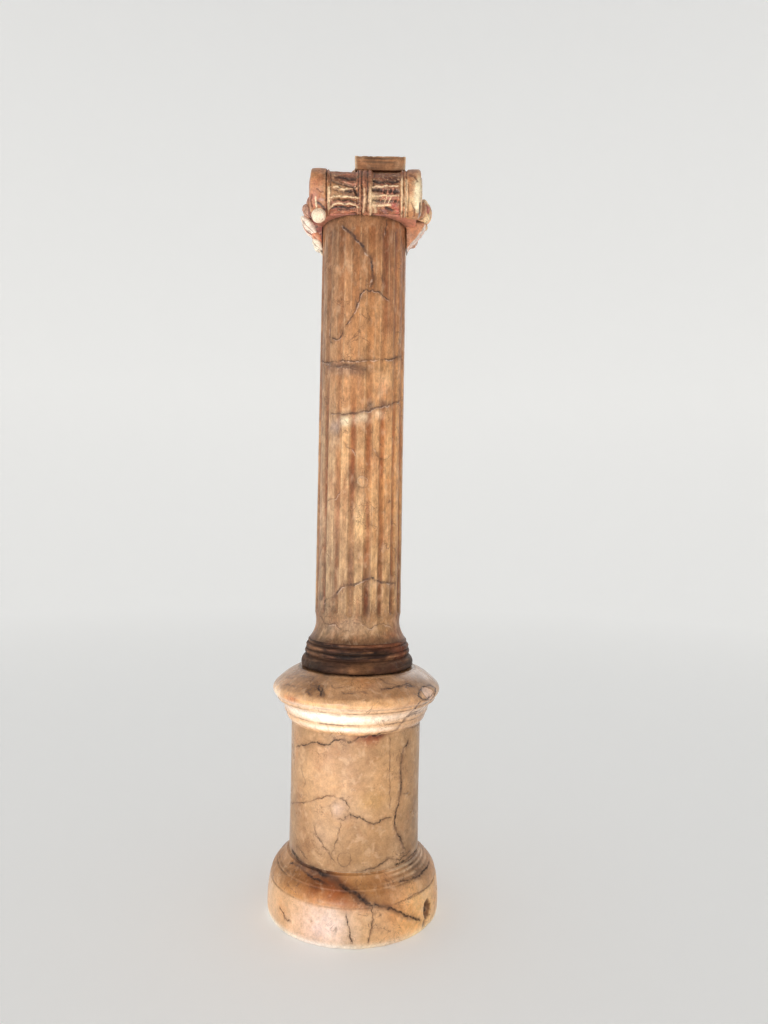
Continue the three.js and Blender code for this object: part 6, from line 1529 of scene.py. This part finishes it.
cap_mat = stone("capital stone", grain=2.0, rough=0.34, veins=False, coat=0.18, bump=1.5, clouds=0.7)
for ob in (front_roll, back_roll, carving, core):
    ob.data.materials.append(cap_mat)
    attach(ob, "root"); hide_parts("capital")


# ------------------------------------------------------------------ abacus
def make_abacus():
    z0, z1, h, d = CAP_TOP + 0.3, 1000.0, 53.6, 60.0
    lost = [(-53.6, 14.0), (-40.0, 6.0), (-26.0, -3.0), (-15.2, -20.0), (-13.4, -40.0), (-12.8, -60.0)]
    out = []
    step = 1.1

    def run(a, b, jag=0.0):
        a, b = np.array(a, float), np.array(b, float)
        n = max(2, int(np.linalg.norm(b - a) / step))
        t = np.linspace(0, 1, n, endpoint=False)[:, None]
        return [np.concatenate([a + (b - a) * t, np.full((n, 1), jag)], 1)]
    out += run((-12.8, -d), (h - 1.0, -d)) + run((h - 1.0, -d), (h, -d + 1.0)) + run((h, -d + 1.0), (h, d - 1)) + run((h, d - 1), (h - 1, d)) \
        + run((h - 1, d), (-h + 1, d)) + run((-h + 1, d), (-h, d - 1)) + run((-h, d - 1), lost[0])
    for a_, b_ in zip(lost[:-1], lost[1:]):
        out += run(a_, b_, 1.0)
    o = np.concatenate(out)
    n = len(o)
    jag = o[:, 2]
    k = np.arange(n)
    c = np.array([14.0, 14.0])
    # rings: bottom inward, wall, top inward
    walls = 22
    rows = [(0.02, z0), (0.5, z0), (0.9, z0), (0.985, z0)] + [(1.0, z) for z in np.linspace(z0 + 0.5, z1 - 0.7, walls)] + [(0.994, z1 - 0.1), (0.985, z1), (0.94, z1), (0.88, z1), (0.8, z1), (0.7, z1), (0.6, z1), (0.48, z1), (0.34, z1), (0.2, z1), (0.02, z1)]
    P, J, W = [], [], []
    for s_, z in rows:
        xy = c + (o[:, :2] - c) * s_
        P.append(np.concatenate([xy, np.full((n, 1), z)], 1)); J.append(jag); W.append(np.full(n, s_))
    P = np.concatenate(P); J = np.concatenate(J); W = np.concatenate(W)
    wall = (W > 0.97)
    outward = P[:, :2] - c
    outward /= np.maximum(np.linalg.norm(outward, axis=1), 1e-6)[:, None]
    crag = (1.8 * fbm(P / 9.0, 3, 900) + 1.0 * fbm(P / 3.0, 3, 901) - 1.0) * smooth(-d, -d + 8, P[:, 1])
    worn = 0.25 * fbm(P / 10.0, 2, 902) - np.clip(fbm(P / 6.0, 3, 903) - 0.2, 0, 1) * 2.4 * np.clip(np.exp(-((P[:, 2] - z1) / 3.0) ** 2) + 0.2, 0, 1)
    flare = -2.2 * smooth(z1 - 3.0, z0 + 2.0, P[:, 2])
    amount = np.where(J > 0.5, crag + 0.6 * flare, worn + flare) * wall
    Q = P.copy()
    Q[:, :2] += outward * amount[:, None]
    Q[:, 2] -= (W > 0.9) * (P[:, 2] > z1 - 1) * np.where(J > 0.5, 1.4 * np.clip(fbm(P / 5.0, 3, 904) + 0.3, 0, 1), 0.5 * np.clip(fbm(P / 6.0, 2, 905), 0, 1))
    ob = mesh_object("abacus_slab", Q, grid_faces(len(rows), n))
    col = np.tile(lin((150, 98, 58)), (len(Q), 1))
    band = fbm(P * [1 / 30.0, 1 / 30.0, 1 / 2.2], 3, 910)[:, None]
    col = col * np.clip(1 + 1.05 * band, 0.2, 3) * (1 + 0.30 * fbm(P / 7.0, 3, 911)[:, None])
    cap_paint(col, P, [(46, -60, 991, 7, 9, 12, (202, 152, 110), 0.75), (18, -60, 992, 14, 9, 12, (112, 80, 54), 0.55), (-6, -60, 988, 8, 9, 8, (190, 128, 84), 0.55), (-4, -60, 997, 6, 9, 5, (196, 150, 112), 0.5), (32, -60, 988, 6, 9, 6, (170, 120, 80), 0.5)], seed=930)
    fresh = ((J > 0.5) * wall * np.clip(0.7 + fbm(P / 4.0, 2, 912), 0, 1))[:, None]
    col = col * (1 - 0.7 * fresh) + lin((222, 186, 150)) * 0.7 * fresh
    # painted highlight: a pale line along the top edge of the walls
    e = (np.exp(-((P[:, 2] - z1) / 1.0) ** 2) * wall * 0.6 * np.clip(0.4 + 1.8 * fbm(P / 3.0, 2, 913), 0, 1))[:, None]
    col = col * (1 - e) + lin((236, 206, 172)) * e
    # painted highlights on the two front upright edges
    corner = ((np.exp(-((P[:, 0] - h) / 1.4) ** 2 - ((P[:, 1] + d) / 1.6) ** 2) + 0.7 * np.exp(-((P[:, 0] + 12.4) / 1.8) ** 2 - ((P[:, 1] + d) / 2.0) ** 2)) * 0.85)[:, None]
    col = col * (1 - corner) + lin((240, 208, 170)) * corner
    # painted shade: darker at the bottom, where it sits on the capital
    low = (smooth(z0 + 4, z0, P[:, 2]) * 0.5)[:, None]
    col = col * (1 - low) + lin((112, 74, 48)) * low
    put_color(ob, "stone", col)
    # the mask is darker at the bottom too: painted shade where it meets the capital
    put_attr(ob, "grime_and_shade", np.clip(smooth(z0 + 1.6, z0, P[:, 2]) * 0.7, 0, 1))
    return ob


abacus = make_abacus()
abacus.data.materials.append(stone("abacus stone", grain=1.6, rough=0.45, veins=False, coat=0.04, bump=1.2, clouds=0.5))
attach(abacus, "root"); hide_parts("abacus")


# ------------------------------------------------------------------ stage
def paint(name, rgb, rough):
    """Pale floor paint, lit a little from within where it curls up far behind."""
    m = bpy.data.materials.new(name)
    n = Nodes(m)
    n.bsdf.inputs["Base Color"].default_value = (*lin(rgb), 1)
    n.bsdf.inputs["Roughness"].default_value = rough
    n.bsdf.inputs["Specular IOR Level"].default_value = 0.15
    n.bsdf.inputs["Emission Color"].default_value = (1.0, 0.99, 0.98, 1)
    far = n.new("ShaderNodeVectorMath"); far.operation = "LENGTH"
    n.put(far.inputs[0], n.pos)
    n.put(n.bsdf.inputs["Emission Strength"], n.remap(far.outputs["Value"], 0.3, 4.6, 0.20, 0.29))
    if hasattr(m, "cycles"):
        m.cycles.emission_sampling = "NONE"
    return m


def stage_floor():
    # a disc of floor that curls up far away all round
    prof = [(0.0001, 0), (1.2, 0), (3.4, 0)] + [(3.4 + 1.4 * math.sin(a), 1.4 - 1.4 * math.cos(a)) for a in np.linspace(0.1, math.pi / 2, 12)] + [(4.8, 5.8)]
    cols = 96
    v = []
    for r, z in prof:
        a = np.arange(cols) * 2 * math.pi / cols
        v.append(np.stack([r * np.cos(a), r * np.sin(a), np.full(cols, z)], 1) * 1000)
    ob = mesh_object("floor", np.concatenate(v), grid_faces(len(prof), cols))
    ob.data.materials.append(paint("floor paint", (232, 232, 230), 0.85))
    ob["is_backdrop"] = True


stage_floor()


def softbox(name, at, aim, size, power, rgb=(255, 255, 255)):
    d = bpy.data.lights.new(name, "AREA")
    d.shape = "RECTANGLE"; d.size, d.size_y = size
    d.energy = power
    d.color = tuple(lin(rgb))
    ob = bpy.data.objects.new(name, d)
    bpy.context.scene.collection.objects.link(ob)
    ob.location = at
    ob.rotation_euler = (Vector(aim) - Vector(at)).to_track_quat("-Z", "Y").to_euler()
    ob.visible_camera = False
    return ob


key = softbox("key low left", (-0.62, -1.25, 0.07), (-0.05, -0.1, 0.36), (0.9, 0.3), 9.6, (255, 250, 242))
low_panel = softbox("floor panel", (-0.12, -0.60, 0.02), (-0.12, -0.55, 1.0), (0.8, 0.45), 3.15, (255, 252, 246))
fill = softbox("front fill", (-0.2, -2.4, 0.7), (0, 0, 0.55), (1.6, 1.2), 4.25, (252, 251, 255))
left = softbox("left strip", (-1.9, -0.5, 0.5), (0, 0, 0.5), (0.8, 1.2), 3.5)
right = softbox("right strip", (1.9, 0.6, 0.9), (0, 0, 0.5), (0.8, 1.6), 1.5)
back_light = softbox("back", (0.4, 2.2, 1.4), (0, 0.6, 0.0), (1.8, 1.4), 8.5)
softbox("top", (0.0, 0.2, 2.8), (0, 0, 0), (2.2, 2.2), 5)
stones = bpy.data.collections.new("stones")
for ob in (plinth, die, cornice, ring, shaft, front_roll, back_roll, carving, core, abacus):
    stones.objects.link(ob)
for lamp in (key, low_panel, fill, left, right, back_light):
    lamp.light_linking.receiver_collection = stones
world = bpy.data.worlds.new("studio")
bpy.context.scene.world = world
world.use_nodes = True
world.node_tree.nodes["Background"].inputs[0].default_value = (0.93, 0.95, 1.0, 1)
world.node_tree.nodes["Background"].inputs[1].default_value = 0.28

# ------------------------------------------------------------------ camera
cam_d = bpy.data.cameras.new("camera")
cam_d.sensor_fit = "AUTO"
cam_d.sensor_width = 36.0
cam_d.lens = 769.0 / 1024.0 * 36.0
cam_d.clip_start = 0.05
cam = bpy.data.objects.new("camera", cam_d)
bpy.context.scene.collection.objects.link(cam)
pitch = math.atan(4.5 / 769.0)
cam.matrix_world = Matrix.Translation((0.0334, -1.058, 0.531)) @ Matrix.Rotation(math.pi / 2 + pitch, 4, "X") @ Matrix.Rotation(math.radians(1.027), 4, "Z")
bpy.context.scene.camera = cam
bpy.context.scene.view_settings.view_transform = "Standard"

bpy.context.view_layer.update()
final_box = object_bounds()


def plain_list(v):
    if isinstance(v, dict):
        return {k: plain_list(x) for k, x in v.items()}
    if hasattr(v, "__len__") and not isinstance(v, str):
        return [plain_list(x) for x in v]
    return float(v)


{"cad": plain_list(cad_box), "final": plain_list(final_box)}
